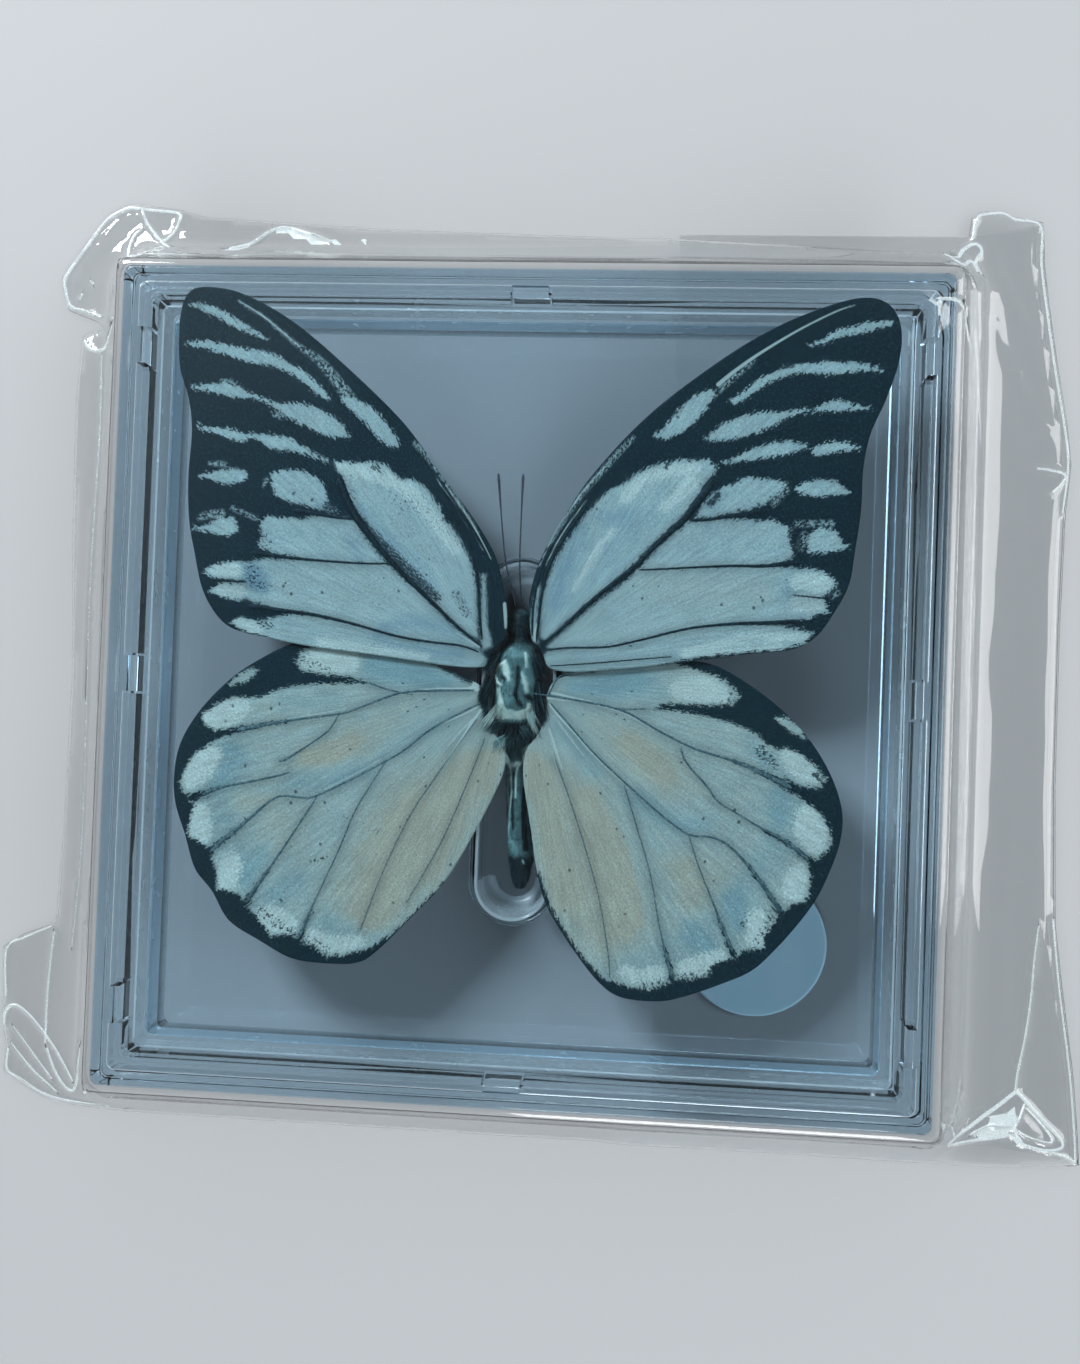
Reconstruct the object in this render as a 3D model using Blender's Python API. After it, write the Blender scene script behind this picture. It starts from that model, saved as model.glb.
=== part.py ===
"""A spread white butterfly in a clear two-part display case, inside a clear film bag.

The case lies flat on its back. The origin is on the surface that it rests on, under the
middle of the case. +X is to the butterfly's right wing tip as seen from above, +Y runs from
its tail to its head, and +Z is up. Lengths are in millimetres here and become metres in
the meshes.
"""

import math

import bmesh
import bpy
from mathutils import Vector

MM = 0.001

# Driving sizes of the case
CASE_HALF = 50.0
CASE_HEIGHT = 10.6
CASE_BOTTOM = 1.2
CASE_TOP = CASE_BOTTOM + CASE_HEIGHT
CORNER_RADIUS = 1.0
EDGE_BEVEL = 0.6
FIT_GAP = 0.3

# Front of the case: a flat window with a skirt
WINDOW_THICKNESS = 1.5
SKIRT_THICKNESS = 1.7
WINDOW_UNDERSIDE = CASE_TOP - WINDOW_THICKNESS
SKIRT_INNER = CASE_HALF - SKIRT_THICKNESS

# Back of the case: a floor flange, a ledge, a lip inside the skirt and a raised platform
LEDGE_HEIGHT = CASE_BOTTOM + 4.85
SKIRT_BOTTOM = LEDGE_HEIGHT + FIT_GAP
LIP_OUTER = SKIRT_INNER - FIT_GAP
LIP_INNER = LIP_OUTER - 1.0
LIP_TOP = CASE_TOP - 2.8
FLANGE_THICKNESS = 1.4
FLANGE_TOP = CASE_BOTTOM + FLANGE_THICKNESS
PLATFORM_HALF = 45.8
PLATFORM_TOP = CASE_TOP - 3.0
PLATFORM_WALL = 1.3
PLATFORM_UNDERSIDE = PLATFORM_TOP - PLATFORM_WALL

# Snap catches: ribs in the skirt that stand in notches of the lip
CATCH_WIDTH = 5.0
CATCH_SIDE_PLACES = (-40.4, 0.0, 40.4)
CATCH_END_PLACES = (0.0,)

# Pocket in the platform for the butterfly's body
POCKET_X = 0.2
POCKET_FRONT_Y = 10.6
POCKET_BACK_Y = -23.7
POCKET_RADIUS = 4.1
POCKET_FLOOR = CASE_BOTTOM + 1.3
POCKET_WALL = 1.0

# The butterfly
WING_THICKNESS = 0.15
HINDWING_HEIGHT = PLATFORM_TOP + FIT_GAP
FOREWING_HEIGHT = HINDWING_HEIGHT + 0.5
ANTENNA_RADIUS = 0.2

# The film bag and its seal
FILM = 0.15
FILM_GAP = 0.3
FILM_STEP = FILM + FILM_GAP
SEAL_X = 30.1
SEAL_Y = -30.9
SEAL_RADIUS = 9.0
SEAL_THICKNESS = 0.1
SEAL_GAP = 0.25
FLAP_EDGE_X = 18.0
BACK_SHEET_RISE_X = (10.0, 16.0)
BACK_SHEET_RISE = FILM + SEAL_GAP + SEAL_THICKNESS + SEAL_GAP

SQUARE_CORNER_STEPS = 3
STADIUM_STEPS = 8
BODY_SIDES = 16

# Wing outlines, in order from the root along the front edge to the tip and back
LEFT_FOREWING = (
    (-1.5, 5.9), (-1.35, 8.5), (-1.75, 10.9), (-3.1, 15.6), (-6.0, 20.2), (-9.9, 25.1),
    (-14.8, 31.4), (-21.8, 37.9), (-28.8, 43.5), (-34.7, 46.7), (-38.6, 47.7), (-41.6, 47.5),
    (-42.9, 45.6), (-43.2, 42.0), (-42.9, 37.7), (-41.7, 34.1), (-41.1, 30.1), (-41.3, 24.5),
    (-41.0, 19.2), (-40.1, 14.9), (-38.9, 10.5), (-36.9, 7.3), (-34.5, 5.7), (-30.1, 4.8),
    (-25.1, 4.0), (-15.2, 3.0), (-8.0, 2.2), (-3.9, 2.3), (-3.3, 3.6), (-2.3, 5.0),
)
RIGHT_FOREWING = (
    (1.7, 5.7), (1.3, 8.3), (1.25, 11.0), (2.3, 15.2), (4.7, 20.0), (8.4, 25.9),
    (14.8, 33.1), (22.7, 39.5), (29.1, 43.6), (35.2, 46.3), (39.6, 47.4), (42.4, 46.7),
    (43.9, 44.2), (43.9, 40.2), (42.5, 35.4), (40.8, 31.2), (40.1, 27.0), (40.0, 22.3),
    (39.4, 17.0), (38.9, 13.5), (37.4, 10.3), (35.2, 7.1), (32.3, 5.5), (27.0, 4.8),
    (20.0, 3.6), (12.0, 2.5), (6.5, 2.0), (3.9, 2.4), (3.2, 3.7), (2.5, 4.9),
)
LEFT_HINDWING = (
    (-3.6, -0.9), (-6.0, 0.8), (-12.0, 3.0), (-18.0, 4.5), (-24.0, 4.9), (-27.9, 4.2),
    (-32.2, 1.9), (-35.3, -0.4), (-38.7, -4.1), (-41.0, -8.1), (-41.7, -12.0), (-41.4, -15.7),
    (-40.0, -19.6), (-38.6, -23.6), (-36.4, -26.2), (-34.1, -29.7), (-30.1, -32.0),
    (-26.1, -33.9), (-21.5, -34.3), (-18.1, -34.0), (-16.0, -32.7), (-12.3, -28.9),
    (-8.0, -24.0), (-4.7, -18.2), (-2.2, -13.0), (-1.1, -9.8), (-1.3, -7.4), (-3.1, -4.7),
)
RIGHT_HINDWING = (
    (3.7, -0.9), (5.0, 1.1), (9.0, 2.2), (14.0, 3.3), (19.1, 3.8), (23.5, 3.4),
    (27.9, 1.1), (31.7, -1.7), (35.0, -5.1), (37.6, -9.2), (39.0, -13.3), (38.9, -16.8),
    (37.8, -20.4), (36.4, -23.6), (34.5, -26.5), (32.0, -29.6), (29.1, -32.5), (25.3, -34.4),
    (21.2, -36.0), (18.2, -36.7), (14.0, -36.5), (11.2, -34.9), (8.0, -31.2), (4.8, -26.5),
    (3.4, -22.6), (2.3, -16.8), (1.2, -10.7), (1.5, -7.6), (3.1, -5.0),
)

# Antennae, from the head to the tip: x, y and height above the platform
LEFT_ANTENNA = ((-0.55, 9.9, -0.9), (-0.95, 11.4, 0.0), (-2.0, 16.0, 0.75), (-3.1, 25.6, 0.8))
RIGHT_ANTENNA = ((0.3, 9.9, -0.9), (0.05, 11.4, 0.0), (-0.15, 16.0, 0.75), (-0.1, 25.6, 0.8))

# Body sections from the head to the tail: y, middle x, middle height over the case's
# bottom, half width and half height
BODY_SECTIONS = (
    (9.5, 0.05, 6.1, 0.7, 0.6), (8.7, 0.05, 6.2, 1.4, 1.1), (7.6, 0.0, 6.2, 1.75, 1.35),
    (6.6, 0.0, 6.2, 1.3, 1.15), (5.9, 0.0, 6.1, 1.2, 1.2), (4.9, -0.05, 6.05, 2.0, 2.0),
    (3.2, -0.1, 6.05, 2.6, 2.5), (0.5, -0.15, 6.05, 2.9, 2.75), (-2.2, -0.15, 6.0, 2.85, 2.6),
    (-4.2, -0.15, 5.8, 2.3, 2.0), (-5.4, -0.15, 5.5, 1.4, 1.35), (-7.0, -0.1, 5.3, 1.1, 1.2),
    (-10.0, 0.0, 5.1, 1.2, 1.4), (-14.0, 0.4, 5.0, 1.35, 1.55), (-18.0, 0.8, 4.9, 1.5, 1.6),
    (-21.0, 1.05, 4.9, 1.5, 1.5), (-23.3, 1.05, 4.9, 1.05, 1.05), (-24.6, 1.0, 4.9, 0.45, 0.45),
)

# Folded legs under the chest, right side: x, y and height over the case's bottom
LEG_PATHS = (
    ((0.9, 3.2, 4.4), (1.9, 3.6, 3.0), (1.4, -0.5, 2.3), (1.1, -3.2, 2.2)),
    ((1.1, 0.4, 4.0), (2.4, 0.2, 2.9), (1.9, -4.4, 2.2), (1.5, -7.6, 2.1)),
    ((0.9, -2.4, 4.2), (2.0, -3.4, 3.0), (2.3, -8.0, 2.4), (2.1, -11.5, 2.3)),
)
LEG_RADIUS = 0.22

# Outline of the bag where it lies on the surface: its four edges, as corner to corner points
BAG_LEFT_EDGE = ((-60.0, -58.4), (-50.0, -60.0), (-44.5, -64.5), (-38.0, -57.6), (0.0, -58.8),
                 (30.0, -60.2), (43.0, -58.6), (51.0, -62.6), (62.0, -56.0))
BAG_RIGHT_EDGE = ((-60.0, 69.8), (-36.0, 68.4), (-21.0, 66.2), (28.0, 65.6), (62.0, 63.0))
BAG_BOTTOM_EDGE = ((-60.0, -56.3), (-37.0, -56.4), (1.0, -56.4), (49.0, -56.8), (70.0, -56.2))
BAG_TOP_EDGE = ((-60.0, 60.8), (-31.0, 59.2), (8.0, 58.2), (50.0, 56.4), (56.0, 60.5), (70.0, 60.0))

# How far the bag's slope stands out from the case, with the share of the drop left there
BAG_SLOPE = ((0.45, 1.0), (3.0, 0.5), (5.6, 0.0))
BAG_INNER_COLUMNS = (-25.0, 10.0, 16.0, 33.0)
BAG_INNER_ROWS = (-44.5, -38.0, -10.0, 20.0, 43.0)
BACK_SHEET_STOP = 8.5
FLAP_INSET = 1.5


def clear_scene():
    """Remove the objects that a new file starts with."""
    for scene_object in list(bpy.data.objects):
        bpy.data.objects.remove(scene_object, do_unlink=True)


def make_material(name, colour, roughness, transmission=0.0):
    """Make one Principled material."""
    material = bpy.data.materials.new(name)
    material.use_nodes = True
    shader = material.node_tree.nodes["Principled BSDF"]
    shader.inputs["Base Color"].default_value = (*colour, 1.0)
    shader.inputs["Roughness"].default_value = roughness
    shader.inputs["Metallic"].default_value = 0.0
    shader.inputs["Transmission Weight"].default_value = transmission
    return material


def make_object(name, mesh_data, material, sharp_angle=35.0):
    """Turn a bmesh in millimetres into a shaded object in metres."""
    bmesh.ops.scale(mesh_data, vec=(MM, MM, MM), verts=mesh_data.verts)
    bmesh.ops.recalc_face_normals(mesh_data, faces=mesh_data.faces)
    mesh = bpy.data.meshes.new(name)
    mesh_data.to_mesh(mesh)
    mesh_data.free()
    mesh.materials.append(material)
    mesh.shade_smooth()
    mesh.set_sharp_from_angle(angle=math.radians(sharp_angle))
    new_object = bpy.data.objects.new(name, mesh)
    bpy.context.scene.collection.objects.link(new_object)
    return new_object


def add_ring(mesh_data, points):
    """Add a closed ring of vertices."""
    return [mesh_data.verts.new(point) for point in points]


def join_rings(mesh_data, first, second):
    """Span two rings of the same count with quads."""
    count = len(first)
    for i in range(count):
        j = (i + 1) % count
        mesh_data.faces.new((first[i], first[j], second[j], second[i]))


def join_all(mesh_data, rings):
    """Span each ring with the next one."""
    for first, second in zip(rings, rings[1:]):
        join_rings(mesh_data, first, second)


def ring_edges(mesh_data, ring):
    """Give the edges around a ring, made where they are missing."""
    edges = []
    for i, vertex in enumerate(ring):
        following = ring[(i + 1) % len(ring)]
        edge = mesh_data.edges.get((vertex, following))
        edges.append(edge or mesh_data.edges.new((vertex, following)))
    return edges


def fill_between(mesh_data, outer, inner):
    """Fill the flat area between an outer ring and an inner one."""
    edges = ring_edges(mesh_data, outer) + ring_edges(mesh_data, inner)
    bmesh.ops.triangle_fill(mesh_data, use_beauty=True, use_dissolve=False, edges=edges)


def rounded_square(half, height, radius=CORNER_RADIUS):
    """Points around a square with round corners."""
    points = []
    for corner in range(4):
        middle_angle = math.radians(45 + 90 * corner)
        middle_x = math.copysign(half - radius, math.cos(middle_angle))
        middle_y = math.copysign(half - radius, math.sin(middle_angle))
        for step in range(SQUARE_CORNER_STEPS + 1):
            angle = math.radians(90 * (corner + step / SQUARE_CORNER_STEPS))
            points.append((middle_x + radius * math.cos(angle),
                           middle_y + radius * math.sin(angle), height))
    return points


def stadium(radius, height):
    """Points around the pocket's outline, with half circles at its two ends."""
    points = []
    for middle_y, start in ((POCKET_FRONT_Y, 0.0), (POCKET_BACK_Y, 180.0)):
        for step in range(STADIUM_STEPS + 1):
            angle = math.radians(start + 180 * step / STADIUM_STEPS)
            points.append((POCKET_X + radius * math.cos(angle),
                           middle_y + radius * math.sin(angle), height))
    return points


def add_box(mesh_data, low, high):
    """Add a box between two corners."""
    made = bmesh.ops.create_cube(mesh_data, size=1.0)["verts"]
    middle = [(a + b) / 2 for a, b in zip(low, high)]
    size = [b - a for a, b in zip(low, high)]
    bmesh.ops.scale(mesh_data, vec=size, verts=made)
    bmesh.ops.translate(mesh_data, vec=middle, verts=made)


def catch_boxes(name, half_width, inner, outer, low, high, material):
    """Make the hidden boxes that shape the catches, on all four sides of the case."""
    mesh_data = bmesh.new()
    for side in (-1, 1):
        near, far = sorted((side * inner, side * outer))
        for place in CATCH_SIDE_PLACES:
            add_box(mesh_data, (near, place - half_width, low), (far, place + half_width, high))
        for place in CATCH_END_PLACES:
            add_box(mesh_data, (place - half_width, near, low), (place + half_width, far, high))
    boxes = make_object(name, mesh_data, material)
    boxes.hide_render = True
    boxes.display_type = "WIRE"
    boxes.hide_set(True)
    return boxes


def shape_with(target, tool, operation):
    """Add or cut a tool's shape with an exact Boolean."""
    modifier = target.modifiers.new(tool.name, "BOOLEAN")
    modifier.operation = operation
    modifier.solver = "EXACT"
    modifier.object = tool


def build_case_front(material):
    """The clear window, its skirt and the ribs of the catches."""
    mesh_data = bmesh.new()
    profile = (
        (CASE_HALF - EDGE_BEVEL, CASE_TOP),
        (CASE_HALF, CASE_TOP - EDGE_BEVEL),
        (CASE_HALF, SKIRT_BOTTOM),
        (SKIRT_INNER, SKIRT_BOTTOM),
        (SKIRT_INNER, WINDOW_UNDERSIDE),
    )
    rings = [add_ring(mesh_data, rounded_square(half, height)) for half, height in profile]
    join_all(mesh_data, rings)
    mesh_data.faces.new(rings[0])
    mesh_data.faces.new(rings[-1])
    front = make_object("case_front", mesh_data, material)
    ribs = catch_boxes("catch_ribs", CATCH_WIDTH / 2 - FIT_GAP, SKIRT_INNER - 1.1,
                       SKIRT_INNER + 0.3, SKIRT_BOTTOM + 0.2, WINDOW_UNDERSIDE + 0.3, material)
    shape_with(front, ribs, "UNION")
    return front


def build_case_back(material):
    """The clear back with its ledge, lip, raised platform and body pocket."""
    mesh_data = bmesh.new()
    profile = (
        (PLATFORM_HALF - 0.3, PLATFORM_TOP),
        (PLATFORM_HALF, PLATFORM_TOP - 0.3),
        (PLATFORM_HALF, FLANGE_TOP),
        (LIP_INNER, FLANGE_TOP),
        (LIP_INNER, LIP_TOP),
        (LIP_OUTER, LIP_TOP),
        (LIP_OUTER, LEDGE_HEIGHT),
        (CASE_HALF, LEDGE_HEIGHT),
        (CASE_HALF, CASE_BOTTOM + 0.4),
        (CASE_HALF - 0.4, CASE_BOTTOM),
        (PLATFORM_HALF - PLATFORM_WALL, CASE_BOTTOM),
        (PLATFORM_HALF - PLATFORM_WALL, PLATFORM_UNDERSIDE),
    )
    rings = [add_ring(mesh_data, rounded_square(half, height)) for half, height in profile]
    join_all(mesh_data, rings)

    inside = (
        (POCKET_RADIUS + 0.4, PLATFORM_TOP),
        (POCKET_RADIUS, PLATFORM_TOP - 0.4),
        (POCKET_RADIUS - 0.2, POCKET_FLOOR + 2.2),
        (POCKET_RADIUS - 0.9, POCKET_FLOOR + 0.9),
        (POCKET_RADIUS - 2.1, POCKET_FLOOR),
    )
    outside = (
        (POCKET_RADIUS + POCKET_WALL, PLATFORM_UNDERSIDE),
        (POCKET_RADIUS + POCKET_WALL - 0.2, POCKET_FLOOR + 1.8),
        (POCKET_RADIUS - 0.3, POCKET_FLOOR),
        (POCKET_RADIUS - 1.7, POCKET_FLOOR - POCKET_WALL),
    )
    inner_rings = [add_ring(mesh_data, stadium(radius, height)) for radius, height in inside]
    outer_rings = [add_ring(mesh_data, stadium(radius, height)) for radius, height in outside]
    join_all(mesh_data, inner_rings)
    join_all(mesh_data, outer_rings)
    mesh_data.faces.new(inner_rings[-1])
    mesh_data.faces.new(outer_rings[-1])
    fill_between(mesh_data, rings[0], inner_rings[0])
    fill_between(mesh_data, rings[-1], outer_rings[0])
    back = make_object("case_back", mesh_data, material)
    notches = catch_boxes("catch_notches", CATCH_WIDTH / 2, LIP_INNER - 0.3, LIP_OUTER + 0.3,
                          LEDGE_HEIGHT + 0.1, LIP_TOP + 1.0, material)
    shape_with(back, notches, "DIFFERENCE")
    return back


def closed_curve(points, steps):
    """Points on a smooth closed curve through the given ones."""
    count = len(points)
    curve = []
    for i in range(count):
        before, start, end, after = (Vector(points[(i + k) % count]) for k in (-1, 0, 1, 2))
        for step in range(steps):
            t = step / steps
            curve.append(0.5 * (2 * start + (end - before) * t
                                + (2 * before - 5 * start + 4 * end - after) * t * t
                                + (3 * start - before - 3 * end + after) * t ** 3))
    return curve


def build_wing(name, outline, height, material):
    """A thin flat wing with a smooth outline."""
    mesh_data = bmesh.new()
    curve = closed_curve(outline, 3)
    lower = add_ring(mesh_data, [(point.x, point.y, height) for point in curve])
    upper = add_ring(mesh_data, [(point.x, point.y, height + WING_THICKNESS) for point in curve])
    join_rings(mesh_data, lower, upper)
    caps = [mesh_data.faces.new(lower), mesh_data.faces.new(upper)]
    bmesh.ops.triangulate(mesh_data, faces=caps)
    return make_object(name, mesh_data, material)


def build_tube(name, path, radius, sides, material):
    """A thin closed tube along a short path, with rounded ends."""
    mesh_data = bmesh.new()
    add_tube(mesh_data, path, radius, sides)
    return make_object(name, mesh_data, material, 80.0)


def add_tube(mesh_data, path, radius, sides):
    """Add a closed tube with pointed end caps to a mesh."""
    points = [Vector(point) for point in path]
    rings = []
    for i, point in enumerate(points):
        along = (points[min(i + 1, len(points) - 1)] - points[max(i - 1, 0)]).normalized()
        across = along.cross(Vector((0, 0, 1))).normalized()
        over = across.cross(along).normalized()
        ring = []
        for side in range(sides):
            angle = 2 * math.pi * side / sides
            ring.append(point + radius * (math.cos(angle) * across + math.sin(angle) * over))
        rings.append(add_ring(mesh_data, ring))
    join_all(mesh_data, rings)
    mesh_data.faces.new(rings[0])
    mesh_data.faces.new(rings[-1])


def build_body(material):
    """Head, chest and tail as one solid, with folded legs grown from it."""
    mesh_data = bmesh.new()
    rings = []
    for y, middle_x, height, half_width, half_height in BODY_SECTIONS:
        ring = []
        for side in range(BODY_SIDES):
            angle = 2 * math.pi * side / BODY_SIDES
            ring.append((middle_x + half_width * math.cos(angle), y,
                         CASE_BOTTOM + height + half_height * math.sin(angle)))
        rings.append(add_ring(mesh_data, ring))
    join_all(mesh_data, rings)
    mesh_data.faces.new(rings[0])
    mesh_data.faces.new(rings[-1])
    body = make_object("body", mesh_data, material, 80.0)

    legs_data = bmesh.new()
    for mirror in (-1, 1):
        for path in LEG_PATHS:
            points = [(mirror * x - 0.15, y, CASE_BOTTOM + height) for x, y, height in path]
            add_tube(legs_data, points, LEG_RADIUS, 6)
    legs = make_object("folded_legs", legs_data, material, 80.0)
    legs.hide_render = True
    legs.display_type = "WIRE"
    legs.hide_set(True)
    shape_with(body, legs, "UNION")
    return body


def build_antenna(name, path, material):
    """One antenna, a thin curved rod that thickens to a small club."""
    places = [(x, y, PLATFORM_TOP + height) for x, y, height in path]
    return build_tube(name, places, ANTENNA_RADIUS, 8, material)


def build_seal(material):
    """The round sticker between the bag's back sheet and its flap."""
    mesh_data = bmesh.new()
    made = bmesh.ops.create_cone(mesh_data, cap_ends=True, segments=48, radius1=SEAL_RADIUS,
                                 radius2=SEAL_RADIUS, depth=SEAL_THICKNESS)["verts"]
    height = FILM + SEAL_GAP + SEAL_THICKNESS / 2
    bmesh.ops.translate(mesh_data, vec=(SEAL_X, SEAL_Y, height), verts=made)
    return make_object("seal_sticker", mesh_data, material)


def along_edge(edge, place):
    """Read an edge of the bag's outline at a place along it."""
    if place <= edge[0][0]:
        return edge[0][1]
    for (start, low), (end, high) in zip(edge, edge[1:]):
        if place <= end:
            return low + (high - low) * (place - start) / (end - start)
    return edge[-1][1]


def bag_stations(inner):
    """Name each column or row: on the case, or so far out from its low or high side."""
    reach = [distance for distance, _ in BAG_SLOPE]
    low_side = [("low", None)] + [("low", distance) for distance in reversed(reach)]
    high_side = [("high", distance) for distance in reach]
    high_side += [("high", BACK_SHEET_STOP), ("high", None)]
    return low_side + [("inner", place) for place in inner] + high_side


def station_place(station, low_edge, high_edge):
    """Where a station lies between the two edges of the bag at that place."""
    side, value = station
    if side == "inner":
        return value
    if side == "low":
        return low_edge if value is None else -CASE_HALF - value
    if value is None:
        return high_edge
    return min(CASE_HALF + value, high_edge - 0.6)


def back_sheet_height(x):
    """Middle of the back sheet: on the surface at the left, over the flap at the right."""
    start, end = BACK_SHEET_RISE_X
    share = min(max((x - start) / (end - start), 0.0), 1.0)
    return FILM / 2 + BACK_SHEET_RISE * share


def front_sheet_height(x, y):
    """Middle of the front sheet: flat on the window, sloping down to its rim outside."""
    rim = back_sheet_height(x) + FILM_STEP
    crown = CASE_TOP + FILM_GAP + FILM / 2
    out = max(abs(x), abs(y)) - CASE_HALF
    share = 1.0 if out <= BAG_SLOPE[0][0] + 0.001 else 0.0
    for (start, high), (end, low) in zip(BAG_SLOPE, BAG_SLOPE[1:]):
        if start < out <= end + 0.001:
            share = high + (low - high) * (out - start) / (end - start)
    return rim + (crown - rim) * share


def bag_grid():
    """Places of the bag's columns and rows as x and y on a grid."""
    columns = bag_stations(BAG_INNER_COLUMNS)
    rows = bag_stations(BAG_INNER_ROWS)
    grid = []
    for column in columns:
        line = []
        for row in rows:
            rough_x = station_place(column, -60.0, 66.0)
            y = station_place(row, along_edge(BAG_BOTTOM_EDGE, rough_x),
                              along_edge(BAG_TOP_EDGE, rough_x))
            x = station_place(column, along_edge(BAG_LEFT_EDGE, y), along_edge(BAG_RIGHT_EDGE, y))
            line.append((x, y))
        grid.append(line)
    return grid


def join_sheet(mesh_data, sheet):
    """Span a grid of vertices with triangles, split so that the case's corners stay crisp."""
    for first, second in zip(sheet, sheet[1:]):
        for i in range(len(first) - 1):
            a, b, c, d = first[i], first[i + 1], second[i + 1], second[i]
            if (a.co.x + c.co.x) * (a.co.y + c.co.y) < 0:
                a, b, c, d = b, c, d, a
            mesh_data.faces.new((a, b, c))
            mesh_data.faces.new((a, c, d))


def flap_column(x, edge_line):
    """Places down one column of the flap, a little inside the bag's side seams."""
    low = along_edge(BAG_BOTTOM_EDGE, x) + FLAP_INSET
    high = along_edge(BAG_TOP_EDGE, x) - FLAP_INSET
    first = edge_line[0][1]
    span = edge_line[-1][1] - first
    return [(x, low + (high - low) * (y - first) / span, FILM / 2) for _, y in edge_line]


def build_bag(material):
    """The clear bag: front and back sheets joined round three sides, and a flap behind."""
    grid = bag_grid()
    mesh_data = bmesh.new()
    front = [[mesh_data.verts.new((x, y, front_sheet_height(x, y))) for x, y in line]
             for line in grid]
    back = [[mesh_data.verts.new((x, y, back_sheet_height(x))) for x, y in line]
            for line in grid[:-1]]
    flap = [[mesh_data.verts.new((x, y, FILM / 2)) for x, y in grid[-1]]]
    for place in (CASE_HALF, FLAP_EDGE_X):
        flap.append([mesh_data.verts.new(point) for point in flap_column(place, grid[-1])])
    join_sheet(mesh_data, front)
    join_sheet(mesh_data, back)
    join_sheet(mesh_data, flap)
    join_sheet(mesh_data, [front[0], back[0]])
    join_sheet(mesh_data, [front[-1], flap[0]])
    for end in (0, -1):
        join_sheet(mesh_data, [[line[end] for line in front[:-1]], [line[end] for line in back]])
    bag = make_object("bag", mesh_data, material)
    film = bag.modifiers.new("film", "SOLIDIFY")
    film.thickness = FILM * MM
    film.offset = 0.0
    film.use_even_offset = True
    return bag


def main():
    clear_scene()
    clear_plastic = make_material("clear_plastic", (0.86, 0.93, 1.0), 0.04, 1.0)
    film = make_material("bag_film", (0.92, 0.96, 1.0), 0.06, 1.0)
    wing = make_material("wing_scales", (0.62, 0.78, 0.76), 0.6)
    body = make_material("body_hair", (0.3, 0.4, 0.38), 0.8)
    horn = make_material("antenna_black", (0.02, 0.025, 0.03), 0.45)
    seal = make_material("seal_paper", (0.55, 0.72, 0.88), 0.5)

    build_case_back(clear_plastic)
    build_case_front(clear_plastic)
    build_wing("left_hindwing", LEFT_HINDWING, HINDWING_HEIGHT, wing)
    build_wing("right_hindwing", RIGHT_HINDWING, HINDWING_HEIGHT, wing)
    build_wing("left_forewing", LEFT_FOREWING, FOREWING_HEIGHT, wing)
    build_wing("right_forewing", RIGHT_FOREWING, FOREWING_HEIGHT, wing)
    build_body(body)
    build_antenna("left_antenna", LEFT_ANTENNA, horn)
    build_antenna("right_antenna", RIGHT_ANTENNA, horn)
    build_seal(seal)
    build_bag(film)


main()
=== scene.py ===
"""The butterfly in its clear case and film bag, dressed for a close look.

Lengths are in millimetres in this script and become metres in the meshes. The places are
the same as in the part's own source: +X to the butterfly's right wing tip, +Y to its head.
"""

import math

import bmesh
import bpy
import numpy as np
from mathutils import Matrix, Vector
from mathutils.geometry import delaunay_2d_cdt
from mathutils.kdtree import KDTree


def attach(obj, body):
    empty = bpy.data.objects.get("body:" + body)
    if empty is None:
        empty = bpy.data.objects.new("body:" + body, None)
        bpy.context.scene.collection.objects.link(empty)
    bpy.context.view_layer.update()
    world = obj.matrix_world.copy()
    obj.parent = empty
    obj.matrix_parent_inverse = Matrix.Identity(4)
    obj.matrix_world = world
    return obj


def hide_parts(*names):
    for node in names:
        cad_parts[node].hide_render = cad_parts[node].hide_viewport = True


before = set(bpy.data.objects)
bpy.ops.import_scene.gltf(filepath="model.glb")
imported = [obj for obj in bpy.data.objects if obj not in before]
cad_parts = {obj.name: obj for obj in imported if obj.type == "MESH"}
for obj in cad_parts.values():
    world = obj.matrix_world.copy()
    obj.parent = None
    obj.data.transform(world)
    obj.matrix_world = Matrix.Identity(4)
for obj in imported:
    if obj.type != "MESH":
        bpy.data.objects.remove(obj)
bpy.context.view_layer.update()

MM = 0.001
SEED = 7
FAR = 9.0
PATH_SHARES = 16
STROKE_MARGIN = 6.0

# The stage: a floor just under the object, lamps by place, size and power, and the sky's
# brightness near the horizon and overhead
FLOOR_HALF = 900.0
FLOOR_LEVEL = -0.03
LAMPS = (
    ("key", (-400, 500, 430), 200, 6.4),
    ("fill", (500, 80, 340), 400, 1.9),
    ("low_rim", (60, -460, 260), 200, 0.9),
)
SKY_LOW = 0.95
SKY_HIGH = 0.03
SKY_COLOUR = (0.97, 0.985, 1.0, 1.0)
CAMERA_PLACE = (13.156, -1.910, 153.44)
CAMERA_TURN = (1.175, 4.080, 2.097)
CAMERA_LENS = 40.0
CLEAR_BOUNCES = 14

# The case
CASE_HALF = 50.0
CASE_BOTTOM = 1.2
CASE_TOP = 11.8
CORNER_RADIUS = 1.0
EDGE_BEVEL = 0.6
FIT_GAP = 0.3
WINDOW_UNDERSIDE = CASE_TOP - 1.5
SKIRT_INNER = CASE_HALF - 1.7
LEDGE_HEIGHT = CASE_BOTTOM + 4.85
SKIRT_BOTTOM = LEDGE_HEIGHT + FIT_GAP
LIP_OUTER = SKIRT_INNER - FIT_GAP
LIP_INNER = LIP_OUTER - 1.0
LIP_TOP = CASE_TOP - 2.8
FLANGE_TOP = CASE_BOTTOM + 1.4
PLATFORM_HALF = 45.8
PLATFORM_TOP = CASE_TOP - 3.0
PLATFORM_WALL = 1.3
PLATFORM_UNDERSIDE = PLATFORM_TOP - PLATFORM_WALL
CATCH_WIDTH = 5.0
CATCH_SIDE_PLACES = (-40.4, 0.0, 40.4)
CATCH_END_PLACES = (0.0,)
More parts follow.
